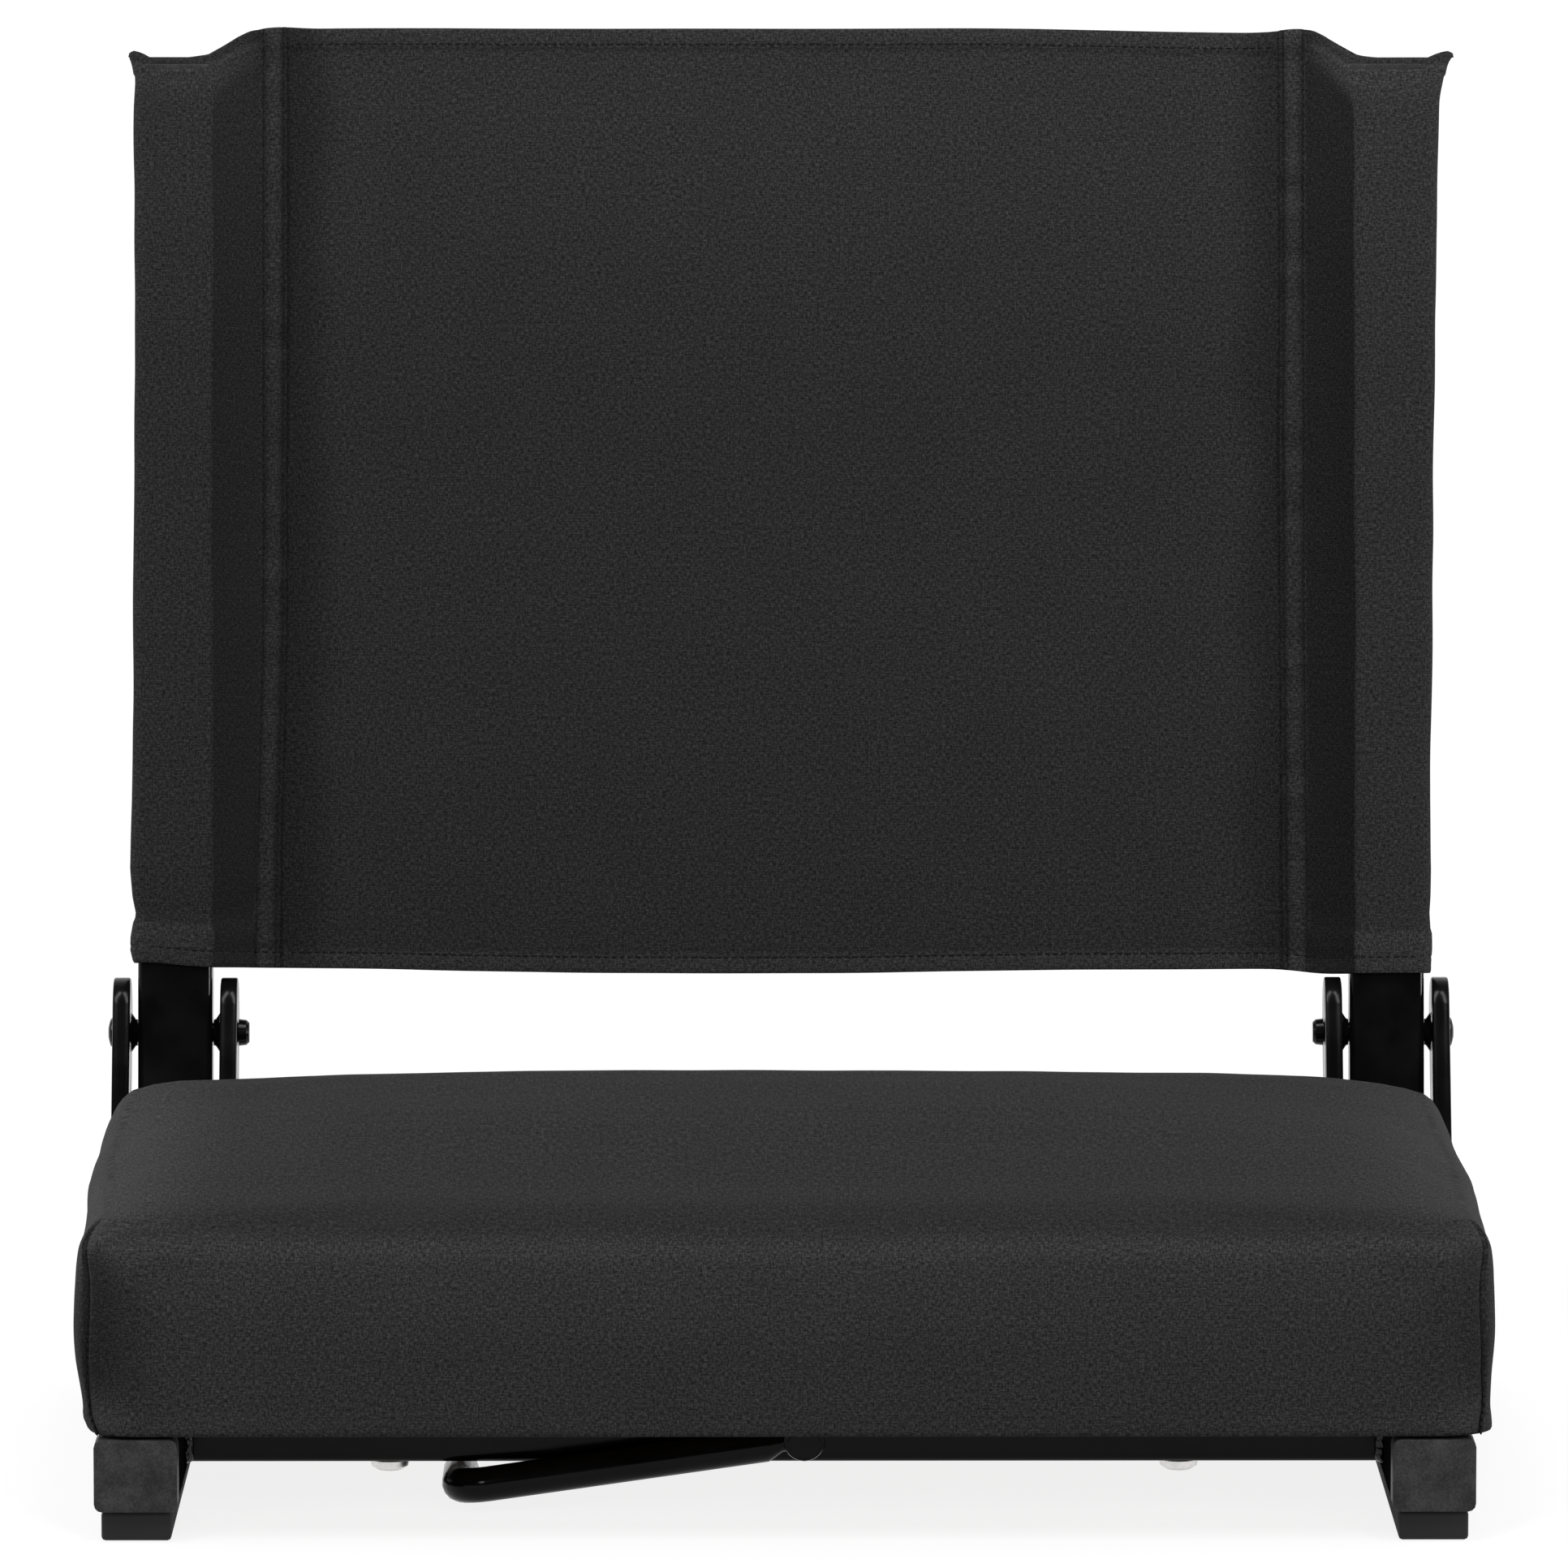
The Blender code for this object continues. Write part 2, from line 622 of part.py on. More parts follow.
# The seat's side, from its underside to the roll of its top edge: height as a share of the edge height
# over the underside, and how far the outline is drawn in from the fullest part.
SEAT_SIDE = ((0.0, 5.5), (0.1, 3.2), (0.25, 1.6), (0.48, 0.2), (0.7, 0.0), (0.9, 2.2), (1.0, 6.3))
# The top, from the rolled edge to the middle: share of the way in and share of the crown.
SEAT_ROLL = ((0.06, 0.27), (0.16, 0.57), (0.34, 0.84), (0.6, 0.96), (0.84, 0.99))
SEAT_CORNER_LEAST = 4.0
SEAT_CORNER_STEPS = 4
SEAT_EDGE_STEPS = 6


def seat_corners(drawn_in, inset):
    """The seat's outline at one height, as (x, depth) points round its four corners."""
    half = SEAT_HALF_WIDTH - drawn_in - inset
    front = SEAT_FRONT + drawn_in + inset
    rear = SEAT_REAR - drawn_in - inset
    radius = max(SEAT_CORNER_LEAST, SEAT_CORNER - inset)
    corners = rounded_rect(2 * half, rear - front, radius, SEAT_CORNER_STEPS)
    return [(a, (front + rear) / 2 + b) for a, b in corners]


def seat_outline(drawn_in, inset, toward_middle=0.0):
    """The same outline with points along its straight edges, drawn towards the middle of the seat."""
    corners = seat_corners(drawn_in, inset)
    points = []
    for k, (a, b) in enumerate(corners):
        points.append((a, b))
        if k % (SEAT_CORNER_STEPS + 1) == SEAT_CORNER_STEPS:
            c, d = corners[(k + 1) % len(corners)]
            for s in range(1, SEAT_EDGE_STEPS):
                t = s / SEAT_EDGE_STEPS
                points.append((a + (c - a) * t, b + (d - b) * t))
    shrink = 1 - toward_middle
    middle = (SEAT_FRONT + SEAT_REAR) / 2
    return [(a * shrink, middle + (b - middle) * shrink) for a, b in points]


def seat_ring(outline, height, rise=0.0):
    """One ring of the padded form. The rear of it rises with the share of the height."""
    ring = []
    for a, b in outline:
        t = (b - SEAT_FRONT) / (SEAT_REAR - SEAT_FRONT)
        ring.append(world(a, b, height + SEAT_RISE * rise * t))
    return ring


def seat_rings(inset, lowest):
    """Rings of the padded form, from the given height up to just short of the middle of the top."""
    rings = []
    tall = SEAT_EDGE_HEIGHT - SEAT_BOTTOM
    lowest_share = (lowest - SEAT_BOTTOM) / tall
    for (low, drawn), (high, next_drawn) in zip(SEAT_SIDE, SEAT_SIDE[1:]):
        if low < lowest_share < high:
            between = drawn + (next_drawn - drawn) * (lowest_share - low) / (high - low)
            rings.append(seat_ring(seat_outline(between, inset), lowest))
    for share, drawn in SEAT_SIDE:
        if share >= lowest_share:
            height = max(lowest, SEAT_BOTTOM + share * (tall - inset))
            rise = share if height > lowest else 0.0
            rings.append(seat_ring(seat_outline(drawn, inset), height, rise))
    edge = SEAT_SIDE[-1][1]
    for share, crown in SEAT_ROLL:
        height = SEAT_EDGE_HEIGHT - inset + SEAT_CROWN * crown
        rings.append(seat_ring(seat_outline(edge, inset, share), height, 1.0))
    return rings


def skin(name, rings, shut_below):
    """A surface through rings of points, closed over the last one and, if asked, under the first."""
    size = len(rings[0])
    points = [p for ring in rings for p in ring]
    hub = sum(rings[-1], Vector()) / size
    points.append(hub)
    last = (len(rings) - 1) * size
    faces = []
    for j in range(size):
        n = (j + 1) % size
        for k in range(0, last, size):
            faces.append((k + j, k + n, k + size + n, k + size + j))
        faces.append((last + j, last + n, len(points) - 1))
    if shut_below:
        faces.append(tuple(reversed(range(size))))
    mesh = bpy.data.meshes.new(name)
    mesh.from_pydata(points, [], faces)
    return mesh


def build_seat():
    """A plywood board bolted to the cross tubes, foam on it, and a cover drawn over both and turned under."""
    drawn = SEAT_SIDE[0][1]
    hem = seat_ring(seat_outline(drawn, COVER_HEM), SEAT_BOTTOM)
    mesh = skin("seat_cover", [hem, *seat_rings(0.0, SEAT_BOTTOM)], False)
    cover = part("seat_cover", "black_canvas", mesh, UNTURNED)
    cloth = cover.modifiers.new("cloth", "SOLIDIFY")
    cloth.thickness = COVER_THICK * MM
    cloth.offset = -1.0
    cloth.use_even_offset = True

    board_bottom = SEAT_BOTTOM + COVER_THICK + GAP
    board_top = board_bottom + BOARD_THICK
    outline = seat_corners(drawn, COVER_THICK + BOARD_INSET)
    mesh = extruded("seat_board", [outline], board_bottom, board_top)
    board = part("seat_board", "plywood", mesh, world(0.0, 0.0, 0.0))

    mesh = skin("seat_foam", seat_rings(COVER_THICK + FOAM_PLAY, board_top + GAP), True)
    part("seat_foam", "foam", mesh, UNTURNED)

    under = RAIL_TOP - CROSS_SIZE - GAP
    tip = board_bottom + BOLT_BITE
    bolt = [
        (0.0, tip),
        (BOLT_RADIUS, tip),
        (BOLT_RADIUS, under),
        (BOLT_HEAD, under),
        (BOLT_HEAD * 0.93, under - BOLT_HEAD_THICK * 0.6),
        (BOLT_HEAD * 0.62, under - BOLT_HEAD_THICK),
        (0.0, under - BOLT_HEAD_THICK),
    ]
    for end, depth in (("front", FRONT_CROSS_DEPTH), ("rear", REAR_CROSS_DEPTH)):
        cross = bpy.data.objects[f"{end}_cross_tube"]
        for side, sign in SIDES:
            name = f"{end}_{side}_seat_bolt"
            foot = world(sign * BOLT_X, depth + CROSS_SIZE / 2, 0.0)
            spin(part(name, "zinc_steel", profile(name, bolt), foot), BOLT_STEPS)
            hole = rod(f"{name}_hole", BOLT_RADIUS + GAP, under - GAP, tip + GAP, BOLT_STEPS)
            drill = helper(f"{name}_hole", hole, foot)
            combine(cross, drill, "DIFFERENCE")
            combine(board, drill, "DIFFERENCE")


HOOK_EYE_REAR = FRONT_CROSS_DEPTH - GAP - HOOK_WASHER_THICK - GAP
HOOK_EYE_MID = HOOK_EYE_REAR - HOOK_EYE_THICK / 2
HOOK_EYE_FRONT = HOOK_EYE_REAR - HOOK_EYE_THICK


def build_hook(parent):
    """The rod is drawn down to its eye, runs across the front and turns back under the cross tube."""
    elbow = local(-HOOK_REACH, 0.0, -HOOK_DROP)
    arm = elbow.normalized()
    back = Vector((0.0, 1.0, 0.0))
    bend = HOOK_BEND * MM
    neck = (0.5, 1.1, 1.8)  # shares of the eye's radius
    path = [arm * HOOK_EYE * share * MM for share in neck]
    start = elbow - arm * bend
    for k in range(ARC_STEPS + 1):
        turn = QUARTER * k / ARC_STEPS
        path.append(start + arm * bend * math.sin(turn) + back * bend * (1 - math.cos(turn)))
    path.append(elbow + back * HOOK_TIP * MM)
    curve = new_curve("bleacher_hook", [path], False)
    curve.dimensions = "3D"
    curve.bevel_depth = HOOK_ROD * MM
    curve.bevel_resolution = 6
    curve.use_fill_caps = True
    points = curve.splines[0].points
    points[0].radius = HOOK_NECK / HOOK_ROD
    points[1].radius = HOOK_NECK / HOOK_ROD
    mesh = mesh_of("bleacher_hook", curve)
    hook = soften(part("bleacher_hook", "black_enamel", mesh, UNTURNED, UNTURNED, parent), HOOK_END_ROUND)

    half = HOOK_EYE_THICK / 2
    eye = helper("hook_eye", rod("hook_eye", HOOK_EYE, -half, half), UNTURNED, TO_REAR, parent)
    soften(eye, HOOK_EYE_EDGE)
    combine(hook, eye, "UNION")
    hole = rod("hook_eye_hole", BOLT_RADIUS + HOLE_PLAY, -HOOK_EYE, HOOK_EYE)
    combine(hook, helper("hook_eye_hole", hole, UNTURNED, TO_REAR, parent), "DIFFERENCE")


def build_hook_bolt():
    """The bolt through the hook's eye and the front cross tube, with its washer and nut."""
    axis = world(HOOK_X, 0.0, HOOK_HEIGHT)
    cross_rear = FRONT_CROSS_DEPTH + CROSS_SIZE
    washer_rear = FRONT_CROSS_DEPTH - GAP
    washer_front = washer_rear - HOOK_WASHER_THICK
    bore = BOLT_RADIUS + GAP
    ring = [
        (HOOK_WASHER_RADIUS, washer_rear), (HOOK_WASHER_RADIUS, washer_front),
        (bore, washer_front), (bore, washer_rear),
    ]
    spin(part("hook_washer", "zinc_steel", profile("hook_washer", ring, True), axis, TO_REAR))

    head_rear = HOOK_EYE_FRONT - GAP
    nut_front = cross_rear + GAP
    nut_rear = nut_front + HOOK_NUT_THICK
    end = nut_rear + HOOK_BOLT_PROUD
    shank = [
        (0.0, end),
        (BOLT_RADIUS - HOOK_BOLT_POINT, end),
        (BOLT_RADIUS, end - HOOK_BOLT_POINT),
        (BOLT_RADIUS, head_rear - HOOK_HEX_THICK / 2),
        (0.0, head_rear - HOOK_HEX_THICK / 2),
    ]
    bolt = spin(part("hook_bolt", "black_enamel", profile("hook_bolt", shank), axis, TO_REAR))
    head = hexagon("hook_bolt_head", head_rear - HOOK_HEX_THICK, head_rear)
    combine(bolt, helper("hook_bolt_head", head, axis, TO_REAR), "UNION")

    nut = part("hook_nut", "zinc_steel", hexagon("hook_nut", nut_front, nut_rear), axis, TO_REAR)
    hole = rod("hook_nut_hole", BOLT_RADIUS + HOLE_PLAY, nut_front - CROSS_SIZE, nut_rear + CROSS_SIZE)
    combine(nut, helper("hook_nut_hole", hole, axis, TO_REAR), "DIFFERENCE")
    hole = rod("hook_bolt_hole", bore, FRONT_CROSS_DEPTH - CROSS_SIZE, cross_rear + CROSS_SIZE)
    cross = bpy.data.objects["front_cross_tube"]
    combine(cross, helper("hook_bolt_hole", hole, axis, TO_REAR), "DIFFERENCE")


build_base()
build_hinges()
back_hinge = hinge_empty("back_hinge", world(0.0, PIVOT_DEPTH, PIVOT_HEIGHT), -BACK_LEAN)
build_back(back_hinge)
build_canvas(back_hinge)
build_seat()
hook_hinge = hinge_empty("hook_hinge", world(HOOK_X, HOOK_EYE_MID, HOOK_HEIGHT))
build_hook(hook_hinge)
build_hook_bolt()
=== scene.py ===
"""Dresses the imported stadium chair: sewn canvas back, padded seat, welds, finishes, light and camera."""

import math
from collections import namedtuple

import bmesh
import bpy
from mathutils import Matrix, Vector, kdtree, noise


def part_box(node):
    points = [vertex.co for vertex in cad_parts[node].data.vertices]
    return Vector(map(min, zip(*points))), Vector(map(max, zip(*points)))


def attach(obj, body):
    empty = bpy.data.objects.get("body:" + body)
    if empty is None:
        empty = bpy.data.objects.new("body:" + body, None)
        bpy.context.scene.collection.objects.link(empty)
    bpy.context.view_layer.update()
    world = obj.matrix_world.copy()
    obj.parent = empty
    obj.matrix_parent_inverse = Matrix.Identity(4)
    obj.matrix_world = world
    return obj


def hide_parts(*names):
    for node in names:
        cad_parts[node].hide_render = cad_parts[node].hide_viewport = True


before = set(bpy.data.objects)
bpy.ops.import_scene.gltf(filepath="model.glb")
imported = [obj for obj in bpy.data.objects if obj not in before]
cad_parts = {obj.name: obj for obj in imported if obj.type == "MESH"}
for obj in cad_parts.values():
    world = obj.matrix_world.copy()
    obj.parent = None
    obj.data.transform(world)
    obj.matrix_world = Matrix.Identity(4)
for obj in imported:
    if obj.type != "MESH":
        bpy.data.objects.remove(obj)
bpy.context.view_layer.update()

MM = 0.001
MIDDLE_DEPTH = 185.757  # depth of the frame's origin behind the front of the rails
PIVOT = Vector((0.0, 0.132243, 0.111))
BACK_LEAN = math.radians(8.0)
BAR_LEAN = math.radians(22.0)

# The base, in mm
RAIL_INNER = 182.3  # from the middle of the chair to the inner side of a rail
BAR_WIDTH = 23.0

# The back, in mm across from the middle, behind the uprights' middle and up from the pivot
PANEL_TOP = 325.0
PANEL_BOTTOM = 20.6
PANEL_REAR = 9.4  # the panel lies level with the back of the sleeves
PANEL_SIDE = 158.0
SEAM_INNER = 162.9  # the two rows of stitches beside each sleeve
SEAM_RIDGE = 165.9
SEAM_OUTER = 168.9
SLEEVE_START = 169.5
SLEEVE_INNER = 186.0
SLEEVE_OUTER = 209.9
SLEEVE_FRONT = 10.0
SLEEVE_CORNER = 3.6
STRIP_OUTER = 184.9  # the strip runs from the front of a sleeve back to the seam
STRIP_WIDTH = 14.6
CANVAS_THICK = 0.8
HEM = 6.0
SLEEVE_HEM = 13.0
STITCH_BACK = 0.8  # from the edge of a hem's turning to its stitches
PINCH = 17.0  # length over which the top of a sleeve closes
SLACK_CREASE = 38.4
CANVAS_ASIDE = 0.9  # the canvas hangs a little to the right
ROWS_ABOVE = 28.0  # evenly spaced rows lie this far from the bottom and the top edge
ROWS_BELOW = 21.5

# The seat, in mm
SEAT_HALF = 213.7
SEAT_FRONT = -2.0
SEAT_REAR = 276.7
SEAT_MIDDLE = (SEAT_FRONT + SEAT_REAR) / 2
SEAT_CORNER = 14.0
SEAT_BOTTOM = 31.9
SEAT_EDGE = 95.0
SEAT_CROWN = 13.8
SEAT_RISE = 5.0
SEAT_SEAM = 207.4  # from the middle of the chair to each corner seam
SEAT_HEM = 20.0
STAPLE_INSET = 15.5
START_SMALLER = 3.0  # the seat before it swells
SWELL_LIMIT = 3.6
SWELL_SHARE = 0.3  # how much of the free swelling the firm foam leaves
SWELL_FRAMES = 20

# How far the side is drawn in, by the share of its height
SEAT_SIDE = (
    (0.0, 1.8), (0.05, 1.7), (0.12, 1.8), (0.25, 1.3), (0.4, 0.6),
    (0.55, 0.0), (0.68, 0.0), (0.78, 0.5), (0.9, 2.2), (1.0, 6.3),
)
# How the crown rises from an edge to the middle, and from the front edge
SEAT_ROLL = ((0.0, 0.0), (0.06, 0.27), (0.16, 0.57), (0.34, 0.84), (0.6, 0.96), (0.84, 0.99), (1.0, 1.0))
SEAT_RAMP = ((0.0, 0.0), (0.06, 0.12), (0.15, 0.19), (0.3, 0.34), (0.53, 0.66), (0.79, 0.92), (1.0, 1.0))


def spot(x, depth, height):
    """A point of the base, from mm across, behind the front of the rails and over the floor."""
    return Vector((x, depth - MIDDLE_DEPTH, height)) * MM


def in_mm(place):
    """The way back: mm across, behind the front of the rails and over the floor."""
    return place.x / MM, place.y / MM + MIDDLE_DEPTH, place.z / MM


def on_back(x, rear, up):
    """A point of the leaning back, from mm across, behind the uprights' middle and up from the pivot."""
    lean, rise = math.sin(BACK_LEAN), math.cos(BACK_LEAN)
    return PIVOT + Vector((x, rear * rise + up * lean, up * rise - rear * lean)) * MM


def smooth(low, high, value):
    """An even step from 0 at low to 1 at high."""
    t = min(1.0, max(0.0, (value - low) / (high - low)))
    return t * t * (3 - 2 * t)


def hump(value, middle, width):
    """A bell that is 1 at its middle."""
    return math.exp(-(((value - middle) / width) ** 2))


def along(table, value):
    """Straight-line reading of a table of (place, value) pairs."""
    for (a, p), (b, q) in zip(table, table[1:]):
        if value <= b:
            return p + (q - p) * max(0.0, value - a) / (b - a)
    return table[-1][1]


def ripple(*place):
    """Smooth noise from -1 to 1."""
    return noise.noise(Vector((*place, 0.37, 0.71)[:3]))


def put(name, data):
    """A new object in the scene."""
    thing = bpy.data.objects.new(name, data)
    bpy.context.scene.collection.objects.link(thing)
    return thing


def new_piece(name, mesh, finish, body):
    piece = put(name, mesh)
    mesh.materials.clear()
    mesh.materials.append(finish)
    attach(piece, body)
    return piece


def keep_painted_shading(mesh, values):
    """Stores the painted light (above 1) and painted shade (below 1) of the cloth at each point."""
    painted_shading = mesh.attributes.new("painted_shading", "FLOAT", "POINT")
    painted_shading.data.foreach_set("value", values)


def settled(thing):
    """The evaluated mesh of an object, with its modifiers in it."""
    graph = bpy.context.evaluated_depsgraph_get()
    return bpy.data.meshes.new_from_object(thing.evaluated_get(graph))


# Finishes


class Wiring:
    """Short calls to add and join the nodes of one tree."""

    def __init__(self, tree):
        self.nodes = tree.nodes
        self.links = tree.links

    def math(self, operation, a, b=0.0):
        node = self.nodes.new("ShaderNodeMath")
        node.operation = operation
        for socket, value in zip(node.inputs, (a, b)):
            if isinstance(value, bpy.types.NodeSocket):
                self.links.new(value, socket)
            else:
                socket.default_value = value
        return node.outputs[0]

    def blend(self, *parts):
        """The sum of patterns, each times its share."""
        total = None
        for pattern, share in parts:
            part = self.math("MULTIPLY", pattern, share)
            total = part if total is None else self.math("ADD", total, part)
        return total

    def apart(self, vector):
        node = self.nodes.new("ShaderNodeSeparateXYZ")
        self.links.new(vector, node.inputs[0])
        return node.outputs

    def spread(self, value, low, high, at=(0.3, 0.7)):
        node = self.nodes.new("ShaderNodeMapRange")
        self.links.new(value, node.inputs["Value"])
        for name, number in zip(("From Min", "From Max", "To Min", "To Max"), (*at, low, high)):
            node.inputs[name].default_value = number
        return node.outputs["Result"]

    def shades(self, value, *stops):
        node = self.nodes.new("ShaderNodeValToRGB")
        elements = node.color_ramp.elements
        while len(elements) < len(stops):
            elements.new(0.5)
        for element, (position, colour) in zip(elements, stops):
            element.position = position
            element.color = (*colour, 1.0)
        self.links.new(value, node.inputs["Fac"])
        return node.outputs["Color"]


class Finish(Wiring):
    """A material on its shader."""

    def __init__(self, name):
        self.material = bpy.data.materials.new(name)
        self.material.use_nodes = True
        super().__init__(self.material.node_tree)
        self.shader = self.nodes["Principled BSDF"]
        self.place = self.nodes.new("ShaderNodeTexCoord").outputs["Object"]

    def set(self, **values):
        for name, value in values.items():
            self.shader.inputs[name.replace("_", " ")].default_value = value

    def follow(self, uv_name):
        """Patterns from here on follow the piece's own cloth map."""
        node = self.nodes.new("ShaderNodeUVMap")
        node.uv_map = uv_name
        self.place = node.outputs["UV"]

    def stretched(self, scale):
        node = self.nodes.new("ShaderNodeMapping")
        node.inputs["Scale"].default_value = scale
        self.links.new(self.place, node.inputs["Vector"])
        return node.outputs["Vector"]

    def grain(self, scale, detail=2.0, stretch=(1, 1, 1), rough=0.5):
        node = self.nodes.new("ShaderNodeTexNoise")
        node.inputs["Scale"].default_value = scale
        node.inputs["Detail"].default_value = detail
        node.inputs["Roughness"].default_value = rough
        self.links.new(self.stretched(stretch), node.inputs["Vector"])
        return node.outputs["Fac"]

    def ribs(self, period, direction):
        node = self.nodes.new("ShaderNodeTexWave")
        node.bands_direction = direction
        node.inputs["Scale"].default_value = 0.1 * math.pi / period
        self.links.new(self.place, node.inputs["Vector"])
        return node.outputs["Fac"]

    def cells(self, scale):
        node = self.nodes.new("ShaderNodeTexVoronoi")
        node.inputs["Scale"].default_value = scale
        self.links.new(self.place, node.inputs["Vector"])
        return node.outputs["Color"]

    def colour(self, socket):
        self.links.new(socket, self.shader.inputs["Base Color"])

    def roughness(self, socket):
        self.links.new(socket, self.shader.inputs["Roughness"])

    def bump(self, height, distance, strength=1.0):
        node = self.nodes.new("ShaderNodeBump")
        node.inputs["Strength"].default_value = strength
        node.inputs["Distance"].default_value = distance
        self.links.new(height, node.inputs["Height"])
        if self.shader.inputs["Normal"].is_linked:
            self.links.new(self.shader.inputs["Normal"].links[0].from_socket, node.inputs["Normal"])
        self.links.new(node.outputs["Normal"], self.shader.inputs["Normal"])

    def mixed(self, share, first, second):
        """Ends the material in a mix of two shaders."""
        node = self.nodes.new("ShaderNodeMixShader")
        for socket, source in zip(node.inputs, (share, first, second)):
            self.links.new(source, socket)
        self.links.new(node.outputs[0], self.nodes["Material Output"].inputs["Surface"])


def grey(value, warm=0.0):
    return (value * (1 + warm), value, value * (1 - warm))


def canvas_finish():
    """Plain-woven black canvas: single threads differ in shade, and the cloth is mottled by handling."""
    made = Finish("black_canvas")
    made.follow("cloth")
    warp = made.grain(1.0, 1.0, (2100.0, 760.0, 1.0))
    weft = made.grain(1.0, 1.0, (760.0, 2100.0, 1.0))
    threads = made.math("MULTIPLY", made.math("ADD", warp, weft), 0.5)
    handled = made.grain(38.0, 3.0)
    shade = made.blend((threads, 0.95), (handled, 0.05))
    tone = made.shades(shade, (0.36, grey(0.0085)), (0.5, grey(0.02)), (0.64, grey(0.039)))
    # The tone is scaled by the stored painted light and shade of each point.
    painted_shading = made.nodes.new("ShaderNodeAttribute")
    painted_shading.attribute_name = "painted_shading"
    shaded_tone = made.nodes.new("ShaderNodeVectorMath")
    shaded_tone.operation = "SCALE"
    made.links.new(tone, shaded_tone.inputs[0])
    made.links.new(painted_shading.outputs["Fac"], shaded_tone.inputs["Scale"])
    made.colour(shaded_tone.outputs[0])
    made.roughness(made.spread(handled, 0.86, 0.98))
    weave = made.math("MULTIPLY", made.ribs(0.00085, "X"), made.ribs(0.00085, "Y"))
    made.bump(weave, 0.00012, 0.5)
    made.bump(made.grain(260.0, 2.0), 0.0003, 0.5)
    made.set(Specular_IOR_Level=0.06, Sheen_Weight=0.015, Sheen_Roughness=0.5)
    return made.material


def thread_finish(name, dark, pale):
    """Twisted thread, with the twist as fine bumps."""
    made = Finish(name)
    made.colour(made.shades(made.grain(900.0, 2.0), (0.3, grey(dark)), (0.7, grey(pale))))
    made.bump(made.grain(2600.0, 1.0, (1.0, 1.0, 1.6)), 0.0001, 0.5)
    made.set(Roughness=0.7, Specular_IOR_Level=0.1)
    return made.material


def enamel_finish(name, dulled_within=None):
    """Gloss black enamel baked on, with a slight orange peel and a thin haze.

    Faces within a distance of the middle of the chair are matt with dust, whose grey is also a painted dull
    reflection of the floor.
    """
    made = Finish(name)
    haze = made.grain(55.0, 4.0)
    made.colour(made.shades(haze, (0.35, grey(0.002)), (0.75, grey(0.005))))
    made.roughness(made.spread(haze, 0.12, 0.22))
    made.bump(made.grain(520.0, 1.0), 0.00003, 0.3)
    made.set(Specular_IOR_Level=0.1)
    if dulled_within:
        dust = made.nodes.new("ShaderNodeBsdfDiffuse")
        # Dust a little lighter than the enamel: partly real dust, partly a painted reflection of the floor.
        dust_and_reflection_tone = made.shades(made.grain(160.0, 4.0), (0.3, grey(0.007)), (0.75, grey(0.02)))
        made.links.new(dust_and_reflection_tone, dust.inputs["Color"])
        from_middle = made.math("ABSOLUTE", made.apart(made.place)["X"])
        outside = made.math("GREATER_THAN", from_middle, dulled_within)
        made.mixed(outside, dust.outputs[0], made.shader.outputs[0])
    return made.material


def weld_finish():
    """A lumpy weld under a thick, wet coat of enamel."""
    made = Finish("painted_weld")
    skin = made.grain(420.0, 3.0)
    made.colour(made.shades(skin, (0.3, grey(0.0018)), (0.7, grey(0.005))))
    made.roughness(made.spread(skin, 0.06, 0.14))
    made.bump(made.grain(620.0, 1.0), 0.0007, 0.9)
    made.set(Specular_IOR_Level=0.26)
    return made.material


def plug_finish():
    """Moulded plastic with a fine spark grain."""
    made = Finish("plug_plastic")
    spark = made.grain(2400.0, 2.0)
    cloud = made.blend((made.grain(130.0, 3.0), 0.55), (made.grain(1500.0, 1.0), 0.45))
    made.colour(made.shades(cloud, (0.36, grey(0.0095)), (0.5, grey(0.02)), (0.64, grey(0.035))))
    made.roughness(made.spread(spark, 0.42, 0.6))
    made.bump(spark, 0.00006, 0.5)
    made.set(Specular_IOR_Level=0.22)
    return made.material


def rubber_finish():
    """Matt rubber with a little bloom."""
    made = Finish("runner_rubber")
    bloom = made.grain(120.0, 4.0)
    made.colour(made.shades(bloom, (0.3, grey(0.011)), (0.7, grey(0.02))))
    made.roughness(made.spread(bloom, 0.68, 0.88))
    made.bump(made.grain(900.0, 3.0), 0.00012, 0.5)
    made.set(Specular_IOR_Level=0.3)
    return made.material


def zinc_finish(name, dark, pale):
    """Plated steel, with a fine spangle in its gloss."""
    made = Finish(name)
    spangle = made.cells(700.0)
    made.colour(made.shades(made.grain(300.0, 3.0), (0.3, grey(dark, 0.01)), (0.7, grey(pale, 0.02))))
    made.roughness(made.spread(spangle, 0.26, 0.46, (0.0, 1.0)))
    made.bump(made.grain(1500.0, 2.0), 0.00003, 0.4)
    made.set(Metallic=1.0)
    return made.material


def plywood_finish():
    """Birch ply: long grain on the faces, and the plies as thin bands on the edge."""
    made = Finish("birch_ply")
    fibre = made.grain(1.0, 4.0, (16.0, 420.0, 420.0), 0.65)
    figure = made.grain(1.0, 3.0, (3.0, 34.0, 34.0))
    plies = made.ribs(0.0024, "Z")
    shade = made.blend((fibre, 0.5), (figure, 0.35), (plies, 0.15))
    dark, middle, pale = (0.27, 0.165, 0.082), (0.44, 0.3, 0.165), (0.56, 0.41, 0.25)
    made.colour(made.shades(shade, (0.3, dark), (0.5, middle), (0.68, pale)))
    made.roughness(made.spread(fibre, 0.6, 0.8))
    made.bump(fibre, 0.0002, 0.5)
    made.set(Specular_IOR_Level=0.3)
    return made.material


CANVAS = canvas_finish()
THREAD = thread_finish("back_thread", 0.004, 0.011)
# Near-black thread for the seat's corner seams: real stitches, coloured to stand in for painted shade in the
# seam crease.
SEAM_SHADE_THREAD = thread_finish("seam_shade_thread", 0.0015, 0.005)
ENAMEL = enamel_finish("black_enamel")
